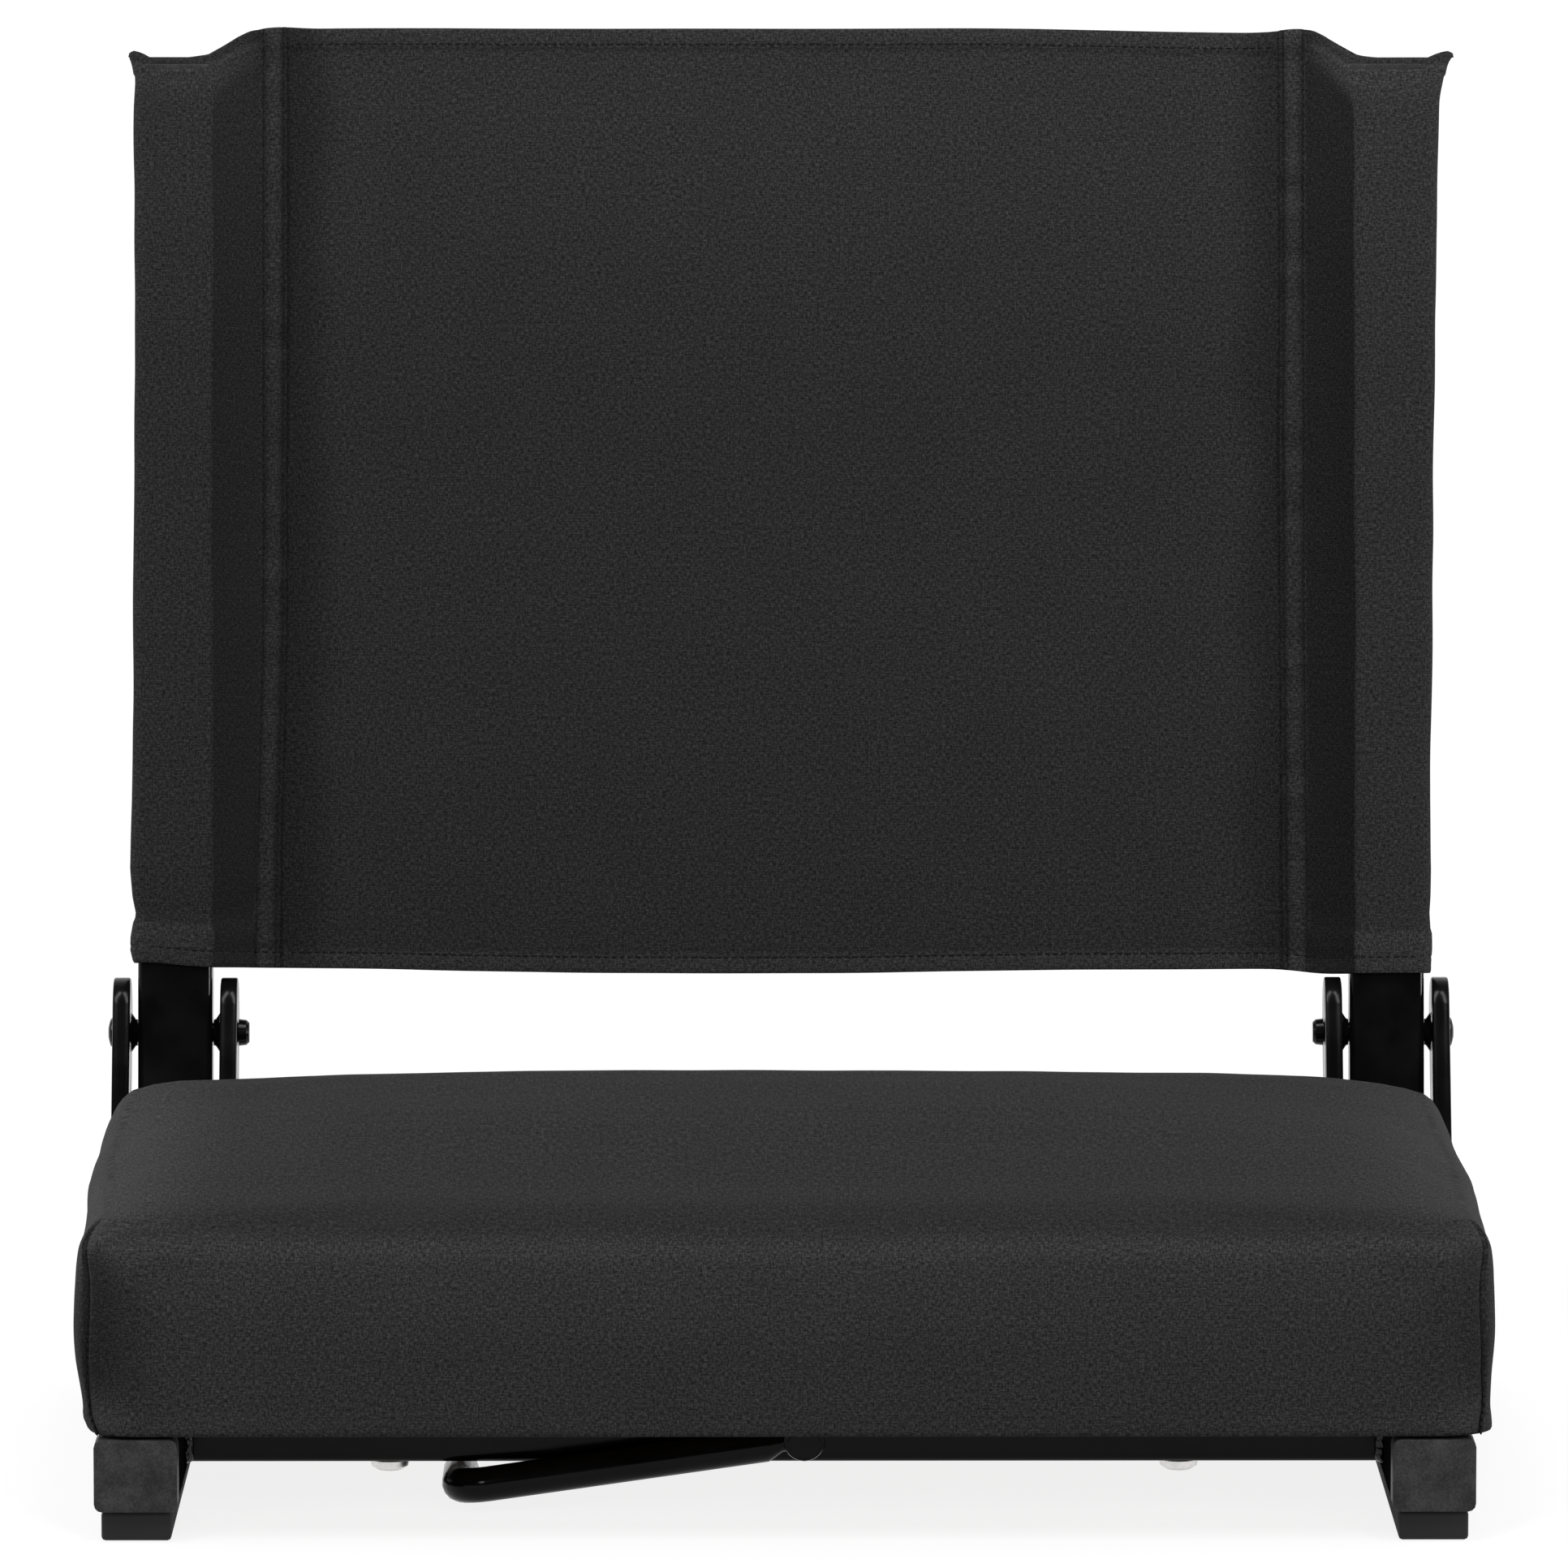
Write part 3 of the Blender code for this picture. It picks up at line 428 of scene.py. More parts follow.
# The rails' inner faces are matt with dust whose grey is partly a painted reflection of the floor.
RAIL_ENAMEL = enamel_finish("rail_enamel", RAIL_INNER * MM)
WELD = weld_finish()
PLUG = plug_finish()
RUBBER = rubber_finish()
ZINC = zinc_finish("zinc_plate", 0.72, 0.88)
DARK_ZINC = zinc_finish("black_zinc", 0.02, 0.05)
PLYWOOD = plywood_finish()


# Trees of geometry nodes


class Tree(Wiring):
    """A geometry tree with named inputs."""

    def __init__(self, name, **sizes):
        self.group = bpy.data.node_groups.new(name, "GeometryNodeTree")
        super().__init__(self.group)
        face = self.group.interface
        face.new_socket(name="Geometry", in_out="INPUT", socket_type="NodeSocketGeometry")
        face.new_socket(name="Geometry", in_out="OUTPUT", socket_type="NodeSocketGeometry")
        self.sizes = {}
        for size, value in sizes.items():
            kind = "NodeSocketInt" if isinstance(value, int) else "NodeSocketFloat"
            kind = "NodeSocketMaterial" if isinstance(value, bpy.types.Material) else kind
            socket = face.new_socket(name=size, in_out="INPUT", socket_type=kind)
            self.sizes[size] = (socket.identifier, value)
        self.start = self.nodes.new("NodeGroupInput").outputs
        self.end = self.nodes.new("NodeGroupOutput").inputs

    def add(self, kind, settings=None, **inputs):
        """A node by its kind. Inputs are sockets to join or values to set, by their name."""
        node = self.nodes.new(kind)
        for name, value in (settings or {}).items():
            setattr(node, name, value)
        for name, value in inputs.items():
            self.join(node, name.replace("_", " "), value)
        return node

    def join(self, node, name, value):
        socket = next(s for s in node.inputs if s.name == name and s.enabled)
        if isinstance(value, bpy.types.NodeSocket):
            self.links.new(value, socket)
        else:
            socket.default_value = value

    def stepped(self, step):
        """The drawn lines as points a step apart."""
        lines = self.start["Geometry"]
        return self.add("GeometryNodeResampleCurve", {"mode": "LENGTH"}, Curve=lines, Length=step).outputs[0]

    def heading(self):
        """The turn that follows a line."""
        tangent = self.add("GeometryNodeInputTangent").outputs[0]
        return self.add("FunctionNodeAlignRotationToVector", {"axis": "X"}, Vector=tangent).outputs[0]

    def chance(self, low, high):
        node = self.add("FunctionNodeRandomValue", Min=low, Max=high, Seed=self.start["Seed"])
        return next(s for s in node.outputs if s.enabled)

    def lay(self, step, shape, turn):
        """Copies of a shape along the lines."""
        node = self.add("GeometryNodeInstanceOnPoints", Points=self.stepped(step), Instance=shape)
        self.join(node, "Rotation", turn)
        return node

    def finish(self, geometry, material):
        self.material = material
        whole = self.add("GeometryNodeRealizeInstances", Geometry=geometry)
        painted = self.add("GeometryNodeSetMaterial", Geometry=whole.outputs[0], Material=material)
        self.links.new(painted.outputs[0], self.end[0])

    def grow(self, thing, **changed):
        modifier = thing.modifiers.new(self.group.name, "NODES")
        modifier.node_group = self.group
        for name, (identifier, value) in self.sizes.items():
            modifier[identifier] = changed.get(name, value)


def stitch_tree(name, finish, length, gap, thread):
    """Single stitches laid end to end along each seam line."""
    tree = Tree(name, Length=length, Gap=gap, Thread=thread, Seed=7)
    pitch = tree.math("ADD", tree.start["Length"], tree.start["Gap"])
    bead = tree.add("GeometryNodeMeshUVSphere", Segments=6, Rings=4, Radius=1.0)
    size = tree.add("ShaderNodeCombineXYZ", X=tree.math("MULTIPLY", tree.start["Length"], 0.5))
    tree.join(size, "Y", tree.start["Thread"])
    tree.join(size, "Z", tree.start["Thread"])
    stitch = tree.add("GeometryNodeTransform", Geometry=bead.outputs[0], Scale=size.outputs[0])
    rounded = tree.add("GeometryNodeSetShadeSmooth", Geometry=stitch.outputs[0])
    laid = tree.lay(pitch, rounded.outputs[0], tree.heading())
    tree.links.new(tree.chance(0.9, 1.1), laid.inputs["Scale"])
    tree.finish(laid.outputs[0], finish)
    return tree


def weld_tree():
    """A bead that swells and thins with each drop of the weld, and slowly with its lumps."""
    tree = Tree("weld_bead", Radius=0.0021, Drop=0.0034, Swell=0.34, Blob=0.0083, Lump=0.26)
    line = tree.stepped(0.0004)
    place = tree.add("GeometryNodeSplineParameter").outputs["Length"]

    def wave(period, height):
        turns = tree.math("MULTIPLY", tree.math("DIVIDE", place, tree.start[period]), 2 * math.pi)
        return tree.math("MULTIPLY", tree.math("SINE", turns), tree.start[height])

    sizes = tree.math("ADD", tree.math("ADD", wave("Drop", "Swell"), wave("Blob", "Lump")), 1.0)
    sized = tree.add("GeometryNodeSetCurveRadius", Curve=line, Radius=sizes)
    section = tree.add("GeometryNodeCurvePrimitiveCircle", Resolution=8, Radius=tree.start["Radius"])
    bead = tree.add("GeometryNodeCurveToMesh", Curve=sized.outputs[0])
    tree.join(bead, "Profile Curve", section.outputs[0])
    tree.join(bead, "Fill Caps", True)
    rounded = tree.add("GeometryNodeSetShadeSmooth", Geometry=bead.outputs[0])
    tree.finish(rounded.outputs[0], WELD)
    return tree


def staple_tree():
    """Wire staples at even steps along the turned-under hem."""
    tree = Tree("hem_staples", Step=0.021, Crown=0.0095, Wire=0.00055, Leg=0.002, Seed=3)
    crown_length, wire, leg_length = (tree.start[size] for size in ("Crown", "Wire", "Leg"))
    crown = tree.add("GeometryNodeMeshCylinder", Vertices=6, Radius=wire, Depth=crown_length)
    across = tree.add("GeometryNodeTransform", Geometry=crown.outputs[0])
    tree.join(across, "Rotation", (0.0, math.pi / 2, 0.0))
    joined = tree.add("GeometryNodeJoinGeometry")
    tree.links.new(across.outputs[0], joined.inputs[0])
    half = tree.math("MULTIPLY", crown_length, 0.5)
    for side in (-1.0, 1.0):
        leg = tree.add("GeometryNodeMeshCylinder", Vertices=6, Radius=wire, Depth=leg_length)
        offset = tree.add("ShaderNodeCombineXYZ", X=tree.math("MULTIPLY", half, side))
        tree.join(offset, "Z", tree.math("MULTIPLY", leg_length, 0.5))
        placed = tree.add("GeometryNodeTransform", Geometry=leg.outputs[0], Translation=offset.outputs[0])
        tree.links.new(placed.outputs[0], joined.inputs[0])
    skew = tree.add("ShaderNodeCombineXYZ", Z=tree.chance(-0.14, 0.14))
    loose = tree.add("FunctionNodeRotateRotation", {"rotation_space": "LOCAL"}, Rotation=tree.heading())
    tree.links.new(skew.outputs[0], loose.inputs["Rotate By"])
    laid = tree.lay(tree.start["Step"], joined.outputs[0], loose.outputs[0])
    tree.finish(laid.outputs[0], ZINC)
    return tree


def rounding_tree():
    """Shades the rounded edges of a pressed or drawn piece smooth, and keeps its sharp ones."""
    tree = Tree("rounded_edges", Sharp=0.62, Finish=ENAMEL)
    whole = tree.add("GeometryNodeMergeByDistance", Geometry=tree.start["Geometry"], Distance=0.000002)
    soft = tree.add("GeometryNodeSetShadeSmooth", Geometry=whole.outputs[0])
    angle = tree.add("GeometryNodeInputMeshEdgeAngle").outputs["Unsigned Angle"]
    sharp = tree.add("FunctionNodeCompare", {"operation": "GREATER_THAN"}, A=angle, B=tree.start["Sharp"])
    crisp = tree.add("GeometryNodeSetShadeSmooth", {"domain": "EDGE"}, Geometry=soft.outputs[0])
    tree.join(crisp, "Selection", sharp.outputs[0])
    tree.join(crisp, "Shade Smooth", False)
    tree.finish(crisp.outputs[0], tree.start["Finish"])
    return tree


def along_lines(name, tree, lines, body):
    """One plain mesh of what the tree lays along lines, each a list of points and whether it closes."""
    curve = bpy.data.curves.new(name, "CURVE")
    curve.dimensions = "3D"
    for points, closed in lines:
        spline = curve.splines.new("POLY")
        spline.points.add(len(points) - 1)
        for point, place in zip(spline.points, points):
            point.co = (*place, 1.0)
        spline.use_cyclic_u = closed
    guide = put(f"{name}_lines", curve)
    tree.grow(guide)
    mesh = settled(guide)
    bpy.data.objects.remove(guide)
    return new_piece(name, mesh, tree.material, body)


# The canvas back: one cloth, across the panel, round each upright and sewn back onto the panel

TOP_EDGE = (
    (0.0, 0.0), (150.0, 0.0), (162.4, 0.5), (169.0, 0.0), (172.6, -1.2), (176.6, -3.3),
    (181.5, -6.6), (186.5, -9.6), (192.5, -10.6), (230.0, -10.6),
)
EAR = ((202.0, 0.0), (204.6, 0.0), (206.4, 1.5), (208.6, 2.1), (210.6, 0.9), (214.0, 0.0))
SLACK = (
    (0.0, -0.4), (22.0, -0.4), (26.7, 0.5), (31.0, 0.3), (SLACK_CREASE, -1.0), (44.0, 0.2),
    (52.7, 1.1), (62.0, 0.9), (74.0, 0.5), (150.0, 0.0),
)
# The folded flap over the seam, as (x, rear)
FLAP = (
    (169.7, 8.3), (169.3, 8.45), (SEAM_OUTER, 8.5), (168.5, 8.1), (167.9, 7.4), (167.0, 6.9),
    (SEAM_RIDGE, 6.75), (164.8, 6.9), (163.9, 7.4), (163.3, 8.1), (SEAM_INNER, 8.5), (162.5, 8.4),
    (162.0, 8.35), (161.5, 8.5),
)

Column = namedtuple("Column", "side place x rear across behind length region")


def half_section():
    """Right half of the cloth's cross-section from the middle of the panel, as (x, rear, region) points."""
    path = [(x * PANEL_SIDE / 50, PANEL_REAR, "panel") for x in range(51)]

    def arc(middle_x, middle_rear, radius, turns, region):
        for turn in turns:
            a = math.radians(turn)
            path.append((middle_x + radius * math.cos(a), middle_rear + radius * math.sin(a), region))

    for x in (160.5, SEAM_INNER, 165.2, 167.2, SEAM_OUTER, 171.5, 174.5, 177.5, 180.5, 183.5):
        path.append((x, PANEL_REAR, "panel"))
    path += [(SLEEVE_INNER + 20.0 * k / 9, PANEL_REAR + 0.4, "rear") for k in range(10)]
    corner_x, corner_rear = SLEEVE_OUTER - SLEEVE_CORNER, SLEEVE_FRONT - SLEEVE_CORNER
    arc(corner_x, corner_rear, SLEEVE_CORNER, (72, 54, 36, 18, 0), "outer")
    path += [(SLEEVE_OUTER + 0.15 * (2 - abs(k)), -1.9 * k, "outer") for k in (-2, -1, 0, 1, 2)]
    arc(corner_x, -corner_rear, SLEEVE_CORNER, (0, -18, -36, -54, -72), "outer")
    for k in range(11):
        path.append((206.0 - 18.5 * k / 10, -SLEEVE_FRONT - 0.15 * math.sin(math.pi * k / 10), "front"))
    arc(186.5, -8.2, 1.8, (258, 246, 234, 224), "front")
    for k in range(12):
        t = k / 11
        path.append((STRIP_OUTER - STRIP_WIDTH * t, -9.1 + 17.0 * t, "strip"))
    return path + [(x, rear, "flap") for x, rear in FLAP]


def full_section():
    """The columns of the cloth from left to right, each with its outward direction and its length."""
    half = half_section()
    right, length = [], 0.0
    for k, (x, rear, region) in enumerate(half):
        before, after = half[max(0, k - 1)], half[min(len(half) - 1, k + 1)]
        length += math.hypot(x - before[0], rear - before[1])
        run = Vector((after[0] - before[0], after[1] - before[1])).normalized()
        right.append(Column(1, x, x, rear, -run.y, run.x, length, region))
    left = [c._replace(side=-1, place=-c.x, length=-c.length) for c in right]
    return list(reversed(left[1:])) + right


def panel_top(x):
    level = 1.5 - 1.4 * smooth(60.0, PANEL_SIDE, x) + 1.2 * smooth(PANEL_SIDE, 172.0, x)
    return PANEL_TOP + level + along(TOP_EDGE, abs(x)) + along(EAR, abs(x)) + 0.25 * ripple(x / 60.0, 4.0)


def panel_bottom(x):
    """The lower edge: the panel sags left of its middle, and the right sleeve hangs lower."""
    if x < 0:
        over_tube = smooth(168.0, 184.0, -x)
        tube = 2.0 - 1.6 * smooth(208.0, SLEEVE_INNER, -x)
    else:
        over_tube = smooth(156.0, 178.0, x)
        tube = -1.7
    left = 1.3 * smooth(40.0, -165.0, x)
    sag = 1.9 * hump(x, -60.0, 130.0)
    return PANEL_BOTTOM + left - sag + (tube - left + sag) * over_tube + 0.3 * ripple(x / 38.0, 9.0)


def cloth_push(column, up, top):
    """How far in mm the cloth stands out: soft waves, puckers along the stitching, slack over the tubes."""
    side, place, x, region = column.side, column.place, column.x, column.region
    sleeve = smooth(SLEEVE_START, SLEEVE_INNER, x)
    push = (0.75 - 0.4 * sleeve) * ripple(place / 70.0, up / 60.0)
    push += 0.3 * ripple(place / 24.0, up / 31.0, 5.0)
    push += 0.35 * sleeve * ripple(side * 5.0 + x / 40.0, up / 26.0, 2.0)
    seams = hump(x, SEAM_INNER - 3.0, 4.5) + hump(x, SEAM_OUTER + 3.5, 4.0)
    push += 0.3 * ripple(up / 5.5, side * 3.0) * seams
    if region == "flap":
        push += 0.5 * ripple(up / 6.5, side * 3.0, 11.0) * hump(x, SEAM_RIDGE, 2.4)
    hem_line = panel_bottom(place) + HEM - STITCH_BACK
    push += 0.26 * ripple(place / 5.0, 7.0) * hump(up, hem_line + 1.0, 4.0)
    push += 0.22 * ripple(place / 5.0, 17.0) * hump(up, top - HEM, 4.0) * (1 - sleeve)
    if region in ("outer", "front", "strip"):
        slack = along(SLACK, up) * (1.0 if side < 0 else 0.35)
        push += slack * (1.0 if region == "outer" else 0.55)
    return push


def at_outer_edge(x):
    return smooth(196.0, 209.0, x)


def canvas_point(column, up, out=0.0):
    """Where a point of the cloth lies, with out in mm on the side away from the tubes."""
    side, x, rear, region = column.side, column.x, column.rear, column.region
    top = panel_top(column.place)
    push = out + cloth_push(column, up, top)
    x += push * column.across
    rear += push * column.behind
    # the seam drifts outwards towards the bottom, and the panel is drawn back beside it
    x += (2.6 if side < 0 else 1.0) * smooth(150.0, PANEL_BOTTOM, up) * hump(x, 165.5, 9.0)
    if region == "panel":
        rear += 1.3 * hump(x, 155.0, 5.5)
    if side > 0 and region in ("front", "strip"):  # room for the plugged end of the tube
        x -= 1.8 * hump(x, 185.0, 7.0) * smooth(22.0, 8.0, top - up)
    # the top of the sleeve is flattened and sewn shut over the end of the tube
    closing = min(1.0, max(0.0, (up - (top - PINCH)) / PINCH))
    shut = 1.0 - math.sqrt(max(0.0, 1.0 - closing**2.4))
    if x > SLEEVE_START:
        seam_rear = PANEL_REAR + (0.3 - PANEL_REAR) * smooth(168.0, 192.0, x)
        layer = 1.0 if region in ("panel", "rear") else -1.0
        if region == "outer":
            layer = max(-1.0, min(1.0, rear / 7.0))
        rear += (seam_rear + layer - rear) * shut
        spare, waist = (2.6, 0.4) if side < 0 else (4.6, -0.8)
        x += (spare * shut - waist * hump(up, top - 7.0, 6.0)) * at_outer_edge(x)
    if side > 0:
        x += (2.4 * smooth(160.0, 320.0, up) - 1.0 * smooth(160.0, 60.0, up)) * at_outer_edge(x)
    return on_back(side * x + CANVAS_ASIDE, rear, up)


def canvas_rows():
    """The cloth's rows from bottom to top, as (edge or share of the height between, mm from the edge)."""
    hem = (0.0, 0.25, 0.8, 1.8, 2.9, 4.0, 4.7, 5.2, 5.8, 6.4, 7.2, 8.2, 9.4, 11.0)
    rows = [("bottom", d) for d in hem]
    rows += [("bottom", hem[-1] + 1.7 * k) for k in range(1, 11)]
    rows += [("between", k / 92) for k in range(1, 92)]
    pinch = (19.5, 17.5, 15.6, 13.8, 12.0, 10.4, 9.0, 7.8, 6.8, 6.1)
    pinch += (5.6, 5.1, 4.6, 3.6, 2.6, 1.7, 0.9, 0.3, 0.0)
    return rows + [("top", -d) for d in pinch]


def row_height(row, low, high):
    edge, shift = row
    if edge == "between":
        return low + ROWS_ABOVE + (high - ROWS_BELOW - low - ROWS_ABOVE) * shift
    return (low if edge == "bottom" else high) + shift


def canvas_painted_shading(column, up, low, high):
    """Painted light and shade on the cloth: lighter towards the top and on the right, a painted highlight on
    the seam's ridge, painted shade in its stitch rows, in the valleys beside it, on the strips and under the
    top edge, and paler hems.
    """
    side, x, region = column.side, column.x, column.region
    share = (up - low) / (high - low)
    # Painted light: lighter towards the top, a little darker at the bottom.
    painted_shading = 1.0 + 0.26 * smooth(0.55, 1.0, share) - 0.04 * smooth(0.4, 0.0, share)
    # Painted light: the right side lighter than the left.
    painted_shading *= 1.0 + 0.09 * side * x / SLEEVE_OUTER
    if region == "flap":
        # Painted shade in the stitch rows and on the panel side of the ridge, a painted highlight on the
        # ridge.
        rows = hump(x, SEAM_INNER, 0.8) + hump(x, SEAM_OUTER, 0.8)
        painted_shading *= 1.02 - 0.42 * min(1.0, rows) + 0.36 * ripple(up / 7.0, side * 4.0, 20.0)
        painted_shading *= 0.68 if x < SEAM_INNER else 1.0
    elif region == "panel":
        # Painted shade in the valley beside the seam.
        valley = smooth(143.0 + 7.0 * ripple(up / 24.0, side * 2.0), 160.0, x)
        painted_shading *= 1.0 - (0.4 if side < 0 else 0.32) * valley * (1.0 if x < 164 else 0.4)
    elif region == "strip":
        # Painted shade on the strip that runs from the sleeve's front back to the seam.
        inner = (STRIP_OUTER - x) / STRIP_WIDTH
        shaded = (0.71 if side < 0 else 0.46) + 0.18 * inner
        reach = 15.0 - 9.0 * inner  # below the closed top the shade ends in a curve
        painted_shading *= shaded + (0.98 - shaded) * smooth(reach + 5.0, reach - 4.0, high - up)
    if region in ("panel", "flap"):
        # A paler band and a thin line of painted shade below the top hem.
        painted_shading *= 1.0 + 0.1 * smooth(HEM, HEM - 1.0, high - up) - 0.08 * hump(high - up, HEM + 0.4, 1.4)
    else:
        # A lighter band, then painted shade along the top edge of the sleeves.
        painted_shading *= 1.0 + 0.1 * smooth(16.0, 5.0, high - up) - 0.45 * smooth(4.8, 2.6, high - up)
    turned = SLEEVE_HEM if region in ("front", "outer") else HEM
    # Paler hems, with a thin line of painted shade just above them.
    paler = 0.28 * smooth(turned + 0.6, turned - 0.6, up - low)
    return painted_shading * (1.0 + paler - 0.12 * hump(up - low, turned + 1.2, 1.2))


def cloth_layers(region, up, low, high):
    """Share of the full thickness: single cloth, doubled at the hems and the flap, thin in stitch grooves."""
    turned = SLEEVE_HEM if region in ("front", "outer", "rear", "strip") else HEM
    hem = max(smooth(turned + 0.9, turned - 0.1, up - low), smooth(HEM + 0.9, HEM - 0.1, high - up))
    groove = hump(up - low, HEM - STITCH_BACK, 0.45)
    if region in ("panel", "flap"):
        groove += hump(high - up, HEM - STITCH_BACK, 0.45)
    edge = smooth(0.0, 0.9, min(up - low, high - up))
    folded = 0.8 if region == "flap" else 0.0
    share = max(hem * (1 - 0.45 * min(1.0, groove)), folded) * (0.35 + 0.65 * edge)
    return 0.5 + 0.5 * share


def canvas_back():
    columns, rows = full_section(), canvas_rows()
    points, cloth, thick, painted_shading = [], [], [], []
    for row in rows:
        for column in columns:
            low, high = panel_bottom(column.place), panel_top(column.place)
            up = row_height(row, low, high)
            points.append(canvas_point(column, up))
            cloth.append((column.length * MM, up * MM))
            # The painted light and shade of each point.
            painted_shading.append(canvas_painted_shading(column, up, low, high))
            thick.append(cloth_layers(column.region, up, low, high))
    wide = len(columns)
    faces = []
    for r in range(len(rows) - 1):
        for k in range(r * wide, r * wide + wide - 1):
            faces.append((k, k + wide, k + wide + 1, k + 1))
    mesh = bpy.data.meshes.new("canvas_back")
    mesh.from_pydata(points, [], faces)
    uv = mesh.uv_layers.new(name="cloth")
    for loop in mesh.loops:
        uv.data[loop.index].uv = cloth[loop.vertex_index]
    mesh.shade_smooth()
    keep_painted_shading(mesh, painted_shading)
    sheet = new_piece("canvas_back", mesh, CANVAS, "back")
    layers = sheet.vertex_groups.new(name="layers")
    for k, share in enumerate(thick):
        layers.add([k], share, "REPLACE")
    wall = sheet.modifiers.new("cloth_thickness", "SOLIDIFY")
    wall.thickness = 2 * CANVAS_THICK * MM
    wall.offset = 0.0
    wall.vertex_group = "layers"
    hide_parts("back_canvas")


def seam_stitches(columns):
    """Both rows of each seam, on the flap and on the back of the panel."""
    lines = []
    for side in (-1, 1):
        for x in (SEAM_INNER, SEAM_OUTER):
            low, high = panel_bottom(side * x) + 1.2, panel_top(side * x) - 1.2
            for region, out in (("flap", 0.68), ("panel", 0.42)):
                near = (c for c in columns if c.region == region)
                column = min(near, key=lambda c: abs(c.place - side * x))
                line = [canvas_point(column, low + (high - low) * k / 140, out) for k in range(141)]
                lines.append((line, False))
    return lines


def hem_stitches(columns):
    """Rows along the top and bottom hems, on the face and the back of the cloth."""
    lines = []
    inset = HEM - STITCH_BACK
    for regions, end, at_top, out in (
        (("panel",), 160.0, True, -0.62), (("panel",), 160.0, True, 0.62),
        (("panel",), 160.0, False, -0.62), (("panel", "rear"), 205.0, False, 0.62),
        (("flap", "strip", "front"), 205.0, False, 0.62),
    ):
        row = [c for c in columns if c.region in regions and c.x <= end]
        halves = [[c for c in row if c.side < 0], [c for c in row if c.side > 0]]
        for run in [row] if "panel" in regions else halves:
            line = []
            for c in run:
                up = panel_top(c.place) - inset if at_top else panel_bottom(c.place) + inset
                line.append(canvas_point(c, up, out))
            lines.append((line, False))
    return lines


# The padded seat


def seat_outline(drawn_in):
    """One ring of the seat in four panels from corner seam to corner seam, as lists of (x, depth)."""
    half = SEAT_HALF - drawn_in
    front, rear = SEAT_FRONT + drawn_in, SEAT_REAR - drawn_in
    radius = max(SEAT_CORNER - max(0.0, drawn_in - 10.0), 3.0)
    # how far round the corner the seam is, with a close point on either side of it
    seam = math.acos(max(0.36, min(0.97, 1 - (half - SEAT_SEAM) / radius)))
    close = 0.5 / radius
    turns = [seam * k / 4 for k in range(4)]
    turns += [seam - close, seam, seam + close, (seam + math.pi / 2) / 2, math.pi / 2]
    quarter = []  # front right corner, from the side to the front
    for turn in turns:
        quarter.append((half - radius + radius * math.cos(turn), front + radius - radius * math.sin(turn)))
    flat_x, flat_y = half - radius, (rear - front) / 2 - radius
    middle = (front + rear) / 2
    fine = [k * 1.6 for k in range(1, 13)]
    wide = flat_x - fine[-1]
    across = [-flat_x + k for k in fine] + [-wide + 2 * wide * k / 58 for k in range(1, 58)]
    across += [flat_x - k for k in reversed(fine)]
    front_side = [(-x, y) for x, y in quarter[5:]]
    front_side += [(x, front) for x in across]
    front_side += [(x, y) for x, y in reversed(quarter[5:])]
    right_side = [(x, y) for x, y in reversed(quarter[:6])]
    right_side += [(half, middle - flat_y + 2 * flat_y * k / 50) for k in range(1, 50)]
    right_side += [(x, 2 * middle - y) for x, y in quarter[:6]]
    rear_side = [(-x, 2 * middle - y) for x, y in front_side]
    left_side = [(-x, 2 * middle - y) for x, y in right_side]
    return front_side, right_side, rear_side, left_side


def seat_counts():
    """How many points a ring has along its front or rear, and along its right or left."""
    front_side, right_side, *_ = seat_outline(0.0)
    return len(front_side) - 1, len(right_side) - 1


def seat_height(depth, level):
    """Height of the padded form at a depth, level being 0 at its foot and 1 at its top edge."""
    rise = (depth - SEAT_FRONT) / (SEAT_REAR - SEAT_FRONT)
    return SEAT_BOTTOM + (SEAT_EDGE - SEAT_BOTTOM) * level + SEAT_RISE * level * rise


def seat_crown(x, depth, edge):
    """How far the top stands over its edge."""
    across = along(SEAT_ROLL, 1 - min(1.0, abs(x) / (SEAT_HALF - edge)))
    half = (SEAT_REAR - SEAT_FRONT) / 2 - edge
    rising = SEAT_ROLL if depth > SEAT_MIDDLE else SEAT_RAMP
    deep = along(rising, 1 - min(1.0, abs(depth - SEAT_MIDDLE) / half))
    if min(across, deep) < 0.001:
        return 0.0
    return SEAT_CROWN / (1 / across + 1 / deep - 1)


